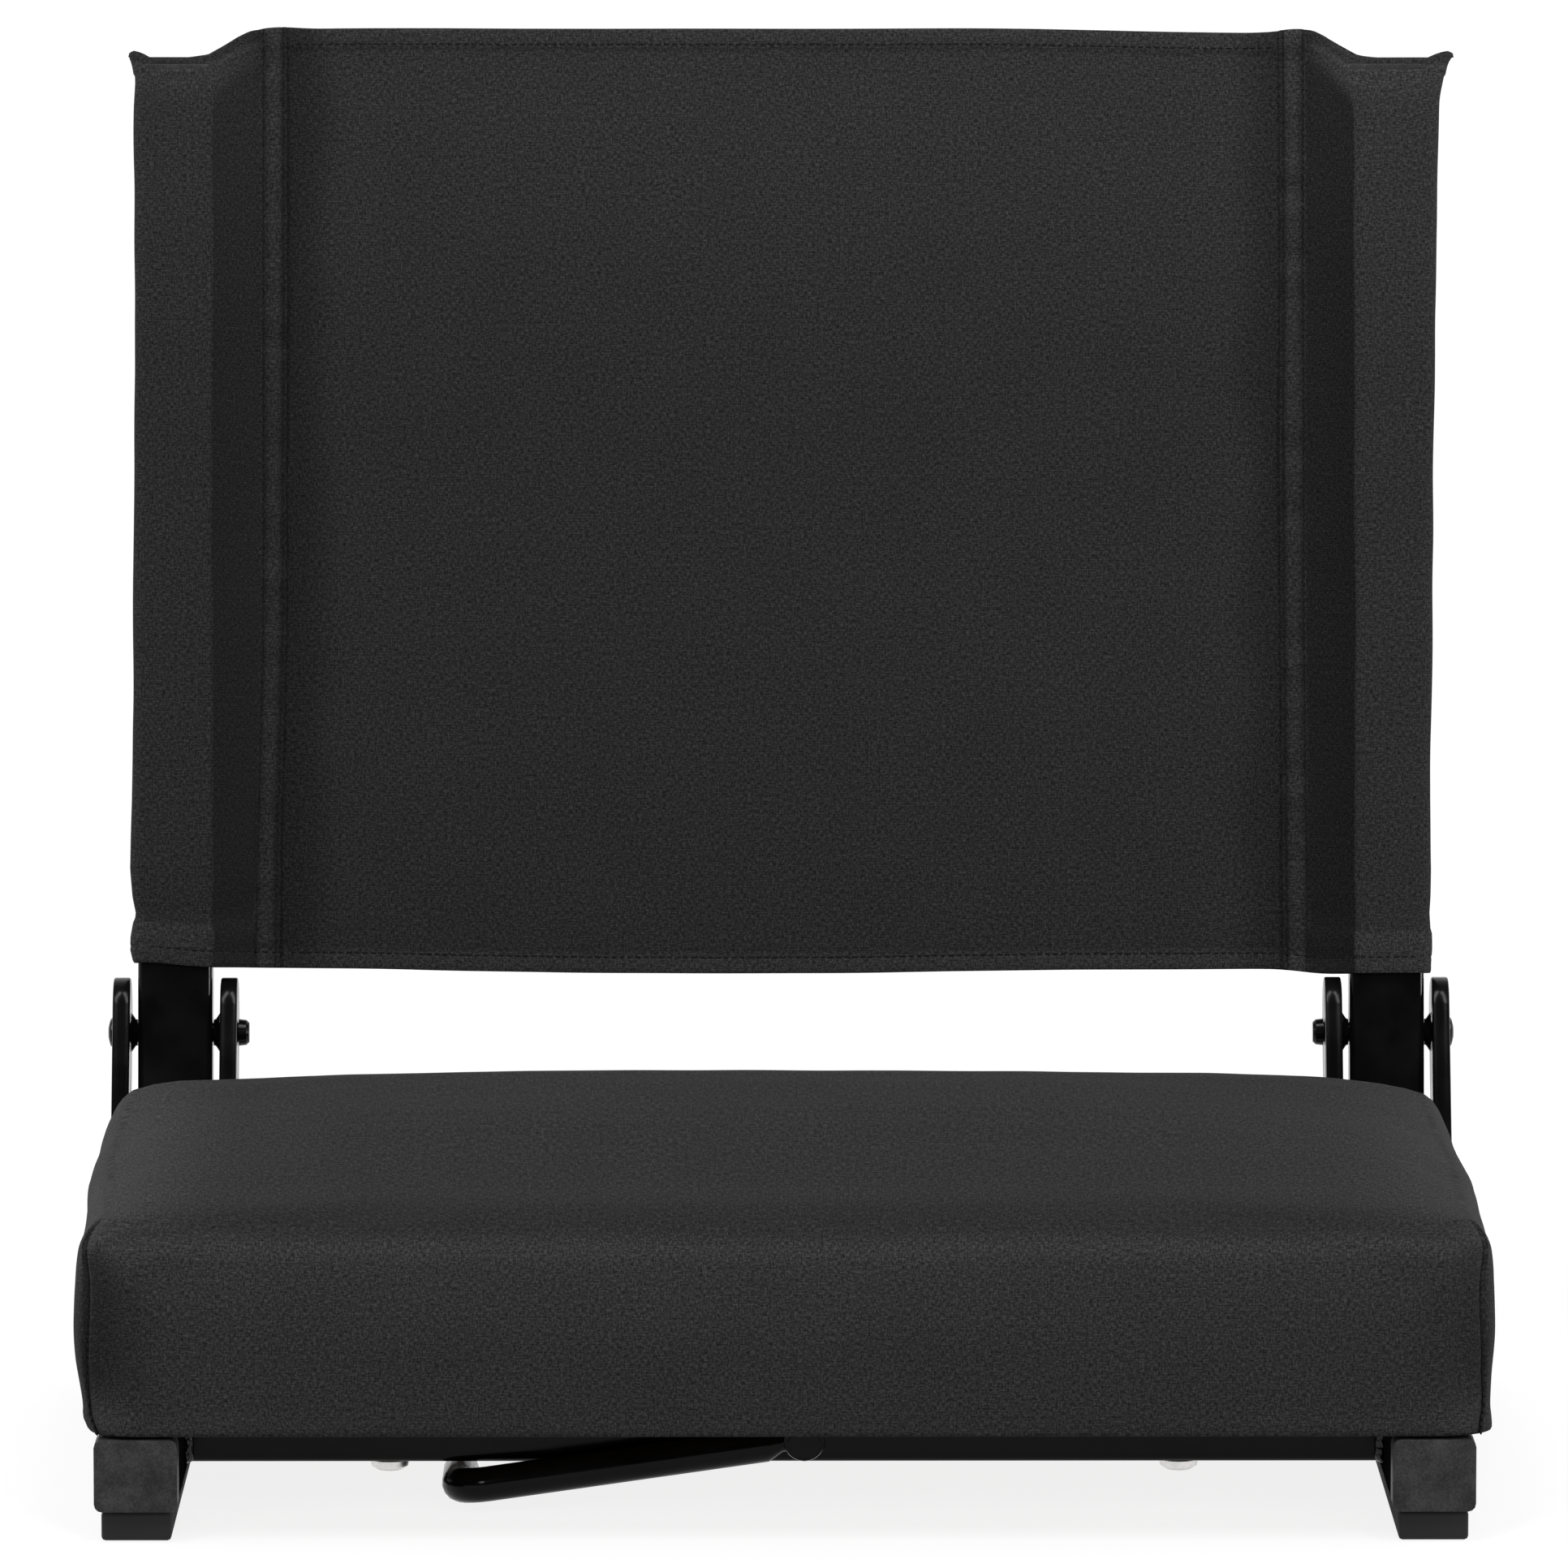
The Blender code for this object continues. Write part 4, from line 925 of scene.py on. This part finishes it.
class SeatForm:
    """The padded form before it swells: points, their panels, faces, seam lines and the held hem."""

    def __init__(self, smaller):
        self.points, self.faces, self.panels, self.started = [], [], [], []
        self.seams, self.held = set(), set()
        self.rings = []
        self.add_sides(smaller)
        self.add_top(smaller)

    def add_point(self, x, depth, height, panel, less):
        self.points.append(spot(x, depth, height))
        self.started.append(less)
        self.panels.append(panel)
        return len(self.points) - 1

    def add_ring(self, drawn_in, height_of, hold, less=0.0):
        ring = []
        for number, panel in enumerate(seat_outline(drawn_in)):
            for k, (x, depth) in enumerate(panel[:-1]):
                point = self.add_point(x, depth, height_of(depth), number, less)
                ring.append(point)
                if k == 0:
                    self.seams.add(point)
                if hold:
                    self.held.add(point)
        self.rings.append(ring)

    def add_sides(self, smaller):
        """Rings from the turned-under hem, round the foot and up to the top edge."""
        foot = SEAT_SIDE[0][1]
        for height in (36.0, 32.7):
            self.add_ring(foot + SEAT_HEM, lambda depth: height, True)
        for inset in (SEAT_HEM - 1.5, 14.0, 8.5, 4.0, 0.7):
            self.add_ring(foot + inset, lambda depth: SEAT_BOTTOM, True)
        levels = (0.015, 0.06, 0.12, 0.2, 0.28, 0.36, 0.44, 0.52, 0.6)
        levels += (0.66, 0.71, 0.76, 0.8, 0.84, 0.88, 0.92, 0.96, 1.0)
        for level in levels:
            less = smaller * smooth(0.0, 0.15, level)
            drawn = along(SEAT_SIDE, level) + less
            self.add_ring(drawn, lambda depth: seat_height(depth, level) - less * 0.5, level < 0.05, less)
        for ring, above in zip(self.rings, self.rings[1:]):
            for k in range(len(ring)):
                n = (k + 1) % len(ring)
                self.faces.append((ring[k], ring[n], above[n], above[k]))

    def add_top(self, smaller):
        """The top, spread between the four edges of the last ring."""
        top = self.rings[-1]
        front, right = seat_counts()
        edge = SEAT_SIDE[-1][1] + smaller
        corners = [self.points[top[n]] for n in self.corner_places()]
        grid = {}
        for i in range(front + 1):
            for j in range(right + 1):
                at_front, at_rear = top[i % len(top)], top[front + right + (front - i)]
                at_left, at_right = top[(2 * front + right + (right - j)) % len(top)], top[front + j]
                if j == 0:
                    grid[i, j] = at_front
                elif i == front:
                    grid[i, j] = at_right
                elif j == right:
                    grid[i, j] = at_rear
                elif i == 0:
                    grid[i, j] = at_left
                else:
                    s, t = i / front, j / right
                    a, b, c, d = (self.points[k] for k in (at_front, at_rear, at_left, at_right))
                    flat = a * (1 - t) + b * t + c * (1 - s) + d * s
                    flat = flat - (corners[0] * (1 - s) + corners[1] * s) * (1 - t)
                    flat = flat - (corners[3] * (1 - s) + corners[2] * s) * t
                    x, depth, _ = in_mm(flat)
                    height = seat_height(depth, 1.0) - smaller * 0.8 + seat_crown(x, depth, edge)
                    grid[i, j] = self.add_point(x, depth, height, 0, smaller)
        for i in range(front):
            for j in range(right):
                self.faces.append((grid[i, j], grid[i + 1, j], grid[i + 1, j + 1], grid[i, j + 1]))

    def corner_places(self):
        """Where the four corner seams fall on a ring."""
        front, right = seat_counts()
        return 0, front, front + right, 2 * front + right


def swollen(mesh, form):
    """Lets the cover swell over its padding as cloth, held at its hem and, less firmly, at its seams."""
    pad = put("seat_swelling", mesh)
    pins = pad.vertex_groups.new(name="sewn")
    pins.add(list(form.held), 1.0, "REPLACE")
    pins.add([s for s in form.seams if s not in form.held], 0.9, "REPLACE")
    cloth = pad.modifiers.new("swell", "CLOTH")
    settings = {
        "quality": 6, "mass": 0.25, "tension_stiffness": 22, "compression_stiffness": 12,
        "shear_stiffness": 6, "bending_stiffness": 1.5, "use_pressure": True,
        "uniform_pressure_force": 4.0, "vertex_group_mass": "sewn",
    }
    for name, value in settings.items():
        setattr(cloth.settings, name, value)
    cloth.settings.effector_weights.gravity = 0.0
    cloth.collision_settings.use_collision = False
    cloth.point_cache.frame_start = 1
    cloth.point_cache.frame_end = SWELL_FRAMES
    for number in range(1, SWELL_FRAMES + 1):
        bpy.context.scene.frame_set(number)
    places = [v.co.copy() for v in settled(pad).vertices]
    bpy.context.scene.frame_set(1)
    bpy.data.objects.remove(pad)
    return places


def pad_relief(place, normal):
    """How far in mm the cover stands out from its plain form: folds, pulls and the dents of use."""
    x, depth, height = in_mm(place)
    if height < SEAT_BOTTOM + 0.6:
        return 0.0
    side = abs(x)
    rise = 0.5 * ripple(x / 85.0, depth / 70.0, height / 60.0)
    rise += 0.2 * ripple(x / 26.0, depth / 26.0, height / 26.0)
    rise += 0.5 * ripple(x / 13.0, depth / 13.0, 3.0) * hump(height, SEAT_BOTTOM + 3.0, 10.0)
    # beside each corner seam the cloth is drawn in, and folds run from the seam's upper end
    inward, down = SEAT_SEAM - side, SEAT_EDGE - 2.0 - height
    facing = max(0.0, abs(normal.y)) * smooth(60.0, 110.0, abs(depth - SEAT_MIDDLE))
    rise -= 2.0 * facing * hump(inward, 4.0, 6.0) * smooth(36.0, 52.0, height) * smooth(97.0, 86.0, height)
    if inward > 0:
        away, across = math.hypot(inward, down), (down - 0.9 * inward) / 1.345
        rise += 1.1 * facing * (hump(across, -1.5, 2.2) - hump(across, 3.5, 2.2)) * smooth(22.0, 4.0, away)
    # the front edge stands up as a low ridge
    rise += 0.6 * hump(height, 90.0, 5.0) * smooth(8.0, 2.0, depth)
    if x < 0:  # the rear left corner is fuller
        rise += 1.7 * smooth(165.0, 200.0, side) * smooth(180.0, 245.0, depth) * smooth(70.0, 92.0, height)
    return rise


def pad_shift(place):
    """How far in mm the cover is pulled across.

    Its long edges are full, its upper front corners square, and its foot is drawn to the right.
    """
    x, depth, height = in_mm(place)
    side = abs(x)
    corner = 1.2 * smooth(76.0, 93.0, height) * smooth(50.0, 8.0, depth) * smooth(180.0, 206.0, side)
    fullness, fullest = (6.1, 158.0) if x < 0 else (4.5, 128.0)
    at_edge = smooth(66.0, 92.0, height) * smooth(140.0, 207.0, side)
    corner += fullness * hump(depth, fullest, 95.0) * at_edge
    corner += 0.9 * hump(height, 57.0, 15.0) * smooth(200.0, 211.0, side)
    low, lowest = smooth(54.0, 36.0, height), smooth(37.0, 32.5, height)
    if x < 0:
        foot = 0.9 * low * smooth(206.8, 211.5, side) + 1.7 * lowest * smooth(203.0, 209.0, side)
    else:
        foot = 0.7 * low * smooth(150.0, 205.0, side)
    return math.copysign(corner, x) + foot


def pad_painted_shading(place, normal):
    """Painted light and shade on the cover: painted highlights on the front, the front ridge and the long top
    edges, painted shade on the top, behind the ridge, beside the corner seams and near the foot.
    """
    x, depth, height = in_mm(place)
    side, inward, down = abs(x), SEAT_SEAM - abs(x), SEAT_EDGE - 2.0 - height
    front = smooth(0.35, 0.8, -normal.y)
    top = smooth(0.55, 0.9, normal.z)
    # Painted light: the front lighter, the top darker.
    painted_shading = 1.0 + 0.1 * front - 0.14 * top
    # A painted highlight along the front ridge.
    painted_shading += 0.26 * hump(height, 89.0, 4.5) * smooth(9.0, 3.0, depth) * smooth(0.2, 0.5, -normal.y)
    # Painted shade on the top just behind the ridge.
    painted_shading -= 0.1 * top * smooth(2.0, 8.0, depth) * smooth(42.0, 20.0, depth)
    # Painted shade beside each corner seam and painted highlights along the long top edges, both stronger on
    # the left.
    seam_shade, edge_highlight = (0.5, 0.5) if x < 0 else (0.24, 0.26)
    beside_seam = smooth(24.0, 1.0, inward) * smooth(36.0, 50.0, height)
    painted_shading -= seam_shade * front * beside_seam * smooth(-2.0, 10.0, down - 0.9 * inward)
    long_edge = smooth(70.0, 92.0, height) * smooth(165.0, 205.0, side)
    painted_shading += edge_highlight * long_edge * smooth(0.1, 0.5, 1.0 - front)
    # Painted shade near the foot.
    painted_shading -= 0.06 * smooth(44.0, 34.0, height)
    return painted_shading


def swell_cover(mesh, form):
    """Moves the cover's points out over the padding, no further than the firm foam lets them."""
    normals = [v.normal.copy() for v in mesh.vertices]
    swell = [p + n * less * MM for p, n, less in zip(form.points, normals, form.started)]
    puffed = swollen(mesh.copy(), form)
    swell = [plain.lerp(free, SWELL_SHARE) for plain, free in zip(swell, puffed)]
    for k, (start, end) in enumerate(zip(form.points, swell)):
        step = Vector() if k in form.held else end - start
        if step.length > SWELL_LIMIT * MM:
            step = step * (SWELL_LIMIT * MM / step.length)
        place = start + step
        if k in form.seams and k not in form.held:  # sewn down into the padding
            place = place - normals[k] * (1.4 + 1.2 * smooth(45.0, 80.0, place.z / MM)) * MM
        mesh.vertices[k].co = place


def map_cloth(mesh, panels):
    """Lays the cloth map: one piece over the top and its four edges, and one up each end."""
    uv = mesh.uv_layers.new(name="cloth")
    crest = SEAT_EDGE * MM
    for polygon in mesh.polygons:
        ends = {panels[v] for v in polygon.vertices}
        on_side = abs(polygon.normal.x) > 0.75 if len(ends) > 1 else min(ends) in (1, 3)
        for index in polygon.loop_indices:
            place = mesh.vertices[mesh.loops[index].vertex_index].co
            if on_side:
                uv.data[index].uv = (place.y + 0.7, place.z)
            else:
                share = min(1.0, max(-1.0, -place.y / (140 * MM)))
                beside = min(1.0, max(-1.0, place.x / (120 * MM)))
                wide = place.x - beside * (max(place.z, (SEAT_EDGE - 2.0) * MM) - crest)
                uv.data[index].uv = (wide, 0.34 * place.y + share * (place.z - crest) + 0.3)


def finer_cover(mesh):
    """The cover with its faces split once, its folds and pulls in it."""
    rough = put("seat_rough", mesh)
    finer = rough.modifiers.new("finer", "SUBSURF")
    finer.levels = finer.render_levels = 1
    finer.uv_smooth = "NONE"
    fine = settled(rough)
    fine.name = "seat_pad"
    bpy.data.objects.remove(rough)
    across = Vector((1.0, 0.0, 0.0))
    moves = [(v.normal * pad_relief(v.co, v.normal) + across * pad_shift(v.co)) * MM for v in fine.vertices]
    for vertex, move in zip(fine.vertices, moves):
        vertex.co += move
    return fine


def paint_cover_shading(fine, sewn):
    """Stores the cover's painted light and shade, with a line of painted shade along each seam."""
    between = 8
    close = kdtree.KDTree(between * sum(len(seam) for seam in sewn))
    for seam in sewn:
        for a, b in zip(seam, seam[1:]):
            for k in range(between):
                close.insert(a.co.lerp(b.co, k / between), 0)
    close.balance()
    painted_shading = []
    for vertex in fine.vertices:
        away = close.find(vertex.co)[2] / MM
        # Painted shade within about 1.5 mm of each seam.
        painted_shading.append(pad_painted_shading(vertex.co, vertex.normal) * (1.0 - 0.9 * smooth(1.5, 0.4, away)))
    keep_painted_shading(fine, painted_shading)


def close_underside(mesh):
    whole = bmesh.new()
    whole.from_mesh(mesh)
    rim = [e for e in whole.edges if e.is_boundary]
    bmesh.ops.contextual_create(whole, geom=rim)
    whole.to_mesh(mesh)
    whole.free()
    mesh.shade_smooth()


def seat_pad():
    form = SeatForm(START_SMALLER)
    mesh = bpy.data.meshes.new("seat_pad")
    mesh.from_pydata(form.points, [], form.faces)
    swell_cover(mesh, form)
    map_cloth(mesh, form.panels)
    mesh.shade_smooth()
    fine = finer_cover(mesh)
    # the seams run from the foot to just under the top edge
    sewn = [[fine.vertices[ring[n]] for ring in form.rings[7:-2]] for n in form.corner_places()]
    paint_cover_shading(fine, sewn)
    lines = [([v.co + v.normal * 0.4 * MM for v in seam], False) for seam in sewn]
    close_underside(fine)
    # The near-black seam stitches stand in for painted shade in each seam's crease.
    along_lines("seat_seam_shade_stitches", SEAM_SHADE_STITCHES, lines, "base")
    pad = new_piece("seat_pad", fine, CANVAS, "base")
    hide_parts("seat_cover", "seat_foam")


def staple_line():
    """Once round the turned-under hem."""
    line = []
    for panel in seat_outline(SEAT_SIDE[0][1] + STAPLE_INSET):
        line += [spot(x, depth, SEAT_BOTTOM - 0.1) for x, depth in panel[:-1]]
    return [(line, True)]


# Welds


def base_weld_lines():
    """Round three sides of each cross tube's ends, and along the foot of each hinge bar."""
    lines = []
    for name in ("front_cross_tube", "rear_cross_tube"):
        low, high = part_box(name)
        front, rear = low.y - 0.3 * MM, high.y + 0.3 * MM
        under, top = low.z + 1.9 * MM, high.z - 1.2 * MM
        for x in (low.x + 0.4 * MM, high.x - 0.4 * MM):
            path = ((front, top), (front, under), (rear, under), (rear, top))
            lines.append(([Vector((x, y, z)) for y, z in path], False))
    for side in ("left", "right"):
        rail_low, rail_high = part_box(f"{side}_rail")
        for bar in ("outer", "inner"):
            low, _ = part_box(f"{side}_{bar}_bar")
            outside = (bar == "outer") == (side == "right")
            x = rail_high.x - 0.3 * MM if outside else rail_low.x + 0.3 * MM
            start = low.y + math.tan(BAR_LEAN) * (rail_high.z - low.z)
            end = start + BAR_WIDTH * MM / math.cos(BAR_LEAN)
            lines.append(([Vector((x, y, rail_high.z)) for y in (start + 1 * MM, end - 1 * MM)], False))
    return lines


def back_weld_lines():
    """Round each end of the tube between the uprights' feet."""
    low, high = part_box("back_cross_tube")
    sunk = Vector((0.4, 0.4, 0.4)) * MM
    low, high = low + sunk, high - sunk
    path = ((low.y, low.z), (high.y, low.z), (high.y, high.z), (low.y, high.z))
    return [([Vector((x, y, z)) for y, z in path], True) for x in (low.x, high.x)]


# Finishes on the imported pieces


def finish_of(name):
    if "plug" in name:
        return PLUG
    if "runner" in name:
        return RUBBER
    if "seat_bolt" in name:
        return ZINC
    if name in ("hook_nut", "hook_washer"):
        return DARK_ZINC
    if name in ("left_rail", "right_rail"):
        return RAIL_ENAMEL
    return PLYWOOD if name == "seat_board" else ENAMEL


def dress_packed_pieces():
    rounding = rounding_tree()
    for name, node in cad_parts.items():
        if name in ("back_canvas", "seat_cover", "seat_foam"):
            continue
        node.data.materials.clear()
        node.data.materials.append(finish_of(name))
        rounding.grow(node, Finish=finish_of(name))


# Light, floor and camera

SKY = ((0.0, 1.0), (0.04, 1.0), (0.06, 0.04), (0.3, 0.04), (1.0, 0.2))  # white only along the horizon
# Wide lamps as (name, strength, spread, turn to the right of the front, lift), in degrees
SUNS = (
    ("side_left", 1.5, 28.0, -100.0, 20.0),
    ("side_right", 1.3, 28.0, 100.0, 20.0),
    ("front_fill", 0.8, 24.0, 0.0, 24.0),
    ("low_left", 0.3, 9.0, -24.0, 21.0),
    ("low_right", 0.3, 9.0, 22.0, 22.0),
    ("edge_right", 1.2, 10.0, 80.0, 3.0),
)
TALL_BOXES = (("tall_box_left", 13500.0, -30.0, 62.0), ("tall_box_right", 12500.0, 26.0, 61.0))
BOX_WIDTH, BOX_HEIGHT, BOX_AWAY = 8.0, 38.0, 60.0
LIT_POINT = Vector((0.0, -0.05, 0.2))
FLOOR_REACH = 30.0
CAMERA_PLACE = (-0.015, -3.85176, 0.655)
CAMERA_DOWN, CAMERA_TURN = 6.63, -0.2344  # in degrees


def stage_floor():
    """A white floor that keeps the chair's shadow and throws little light back up."""
    made = Finish("studio_floor")
    made.set(Roughness=0.9, Specular_IOR_Level=0.0)
    seen = made.nodes.new("ShaderNodeLightPath")
    glow = made.nodes.new("ShaderNodeEmission")
    glow.inputs["Color"].default_value = (1, 1, 1, 1)
    shown = made.math("MAXIMUM", seen.outputs["Is Camera Ray"], seen.outputs["Is Glossy Ray"])
    shown = made.math("MAXIMUM", shown, seen.outputs["Is Transmission Ray"])
    made.colour(made.shades(shown, (0.0, grey(0.45)), (1.0, grey(0.96))))
    made.mixed(made.math("MULTIPLY", shown, 0.85), made.shader.outputs[0], glow.outputs[0])
    mesh = bpy.data.meshes.new("studio_floor")
    corners = [(x * FLOOR_REACH, y * FLOOR_REACH, 0) for x, y in ((-1, -1), (1, -1), (1, 1), (-1, 1))]
    mesh.from_pydata(corners, [], [(0, 1, 2, 3)])
    mesh.materials.append(made.material)
    floor = put("studio_floor", mesh)
    floor.location.z = -0.0002


def studio_sky():
    """A dim sky, white along the horizon and softly bright behind the chair."""
    scene = bpy.context.scene
    scene.world = bpy.data.worlds.new("studio")
    scene.world.use_nodes = True
    made = Wiring(scene.world.node_tree)
    toward = made.apart(made.nodes.new("ShaderNodeTexCoord").outputs["Generated"])
    bands = made.shades(toward["Z"], *((height, grey(level)) for height, level in SKY))
    behind = made.spread(toward["Y"], 0.0, 1.0, (0.15, 0.75))
    made.links.new(made.math("MAXIMUM", bands, behind), made.nodes["Background"].inputs["Color"])


def hang(name, lamp, turn, lift, away):
    """A light that shines at the chair from a turn and a lift in degrees."""
    thing = put(name, lamp)
    turn, lift = math.radians(turn), math.radians(lift)
    thing.rotation_euler = (math.pi / 2 - lift, 0.0, turn)
    toward = Vector((math.sin(turn) * math.cos(lift), -math.cos(turn) * math.cos(lift), math.sin(lift)))
    thing.location = LIT_POINT + toward * away
    return thing


def studio_lamps():
    for name, strength, spread, turn, lift in SUNS:
        lamp = bpy.data.lights.new(name, "SUN")
        lamp.energy = strength
        lamp.angle = math.radians(spread)
        hung = hang(name, lamp, turn, lift, 0.0)
        hung.visible_glossy = name != "front_fill"
        hung.visible_diffuse = name != "edge_right"  # only glints on the uprights' edges
    for name, power, turn, lift in TALL_BOXES:
        lamp = bpy.data.lights.new(name, "AREA")
        lamp.shape = "RECTANGLE"
        lamp.size, lamp.size_y = BOX_WIDTH, BOX_HEIGHT
        lamp.energy = power
        hang(name, lamp, turn, lift, BOX_AWAY).visible_camera = False


def camera():
    lens = bpy.data.cameras.new("camera")
    lens.sensor_fit = "HORIZONTAL"
    lens.sensor_width = 36.0
    lens.lens = 284.9
    lens.shift_x = -0.0007
    lens.clip_end = 100.0
    thing = put("camera", lens)
    thing.location = CAMERA_PLACE
    thing.rotation_euler = (math.radians(90.0 - CAMERA_DOWN), 0.0, math.radians(CAMERA_TURN))
    bpy.context.scene.camera = thing


STITCHES = stitch_tree("stitches", THREAD, length=0.0021, gap=0.0005, thread=0.00034)
# Stitches in the near-black thread, a painted shade line along the seat's seams.
SEAM_SHADE_STITCHES = stitch_tree("seam_shade_thread", SEAM_SHADE_THREAD, length=0.0024, gap=0.0001, thread=0.00045)
WELDS = weld_tree()
STAPLES = staple_tree()

bpy.context.scene.view_settings.view_transform = "Standard"
camera()
stage_floor()
studio_sky()
studio_lamps()
dress_packed_pieces()
canvas_back()
section = full_section()
along_lines("back_stitches", STITCHES, seam_stitches(section) + hem_stitches(section), "back")
seat_pad()
along_lines("hem_staples", STAPLES, staple_line(), "base")
along_lines("base_welds", WELDS, base_weld_lines(), "base")
along_lines("back_welds", WELDS, back_weld_lines(), "back")
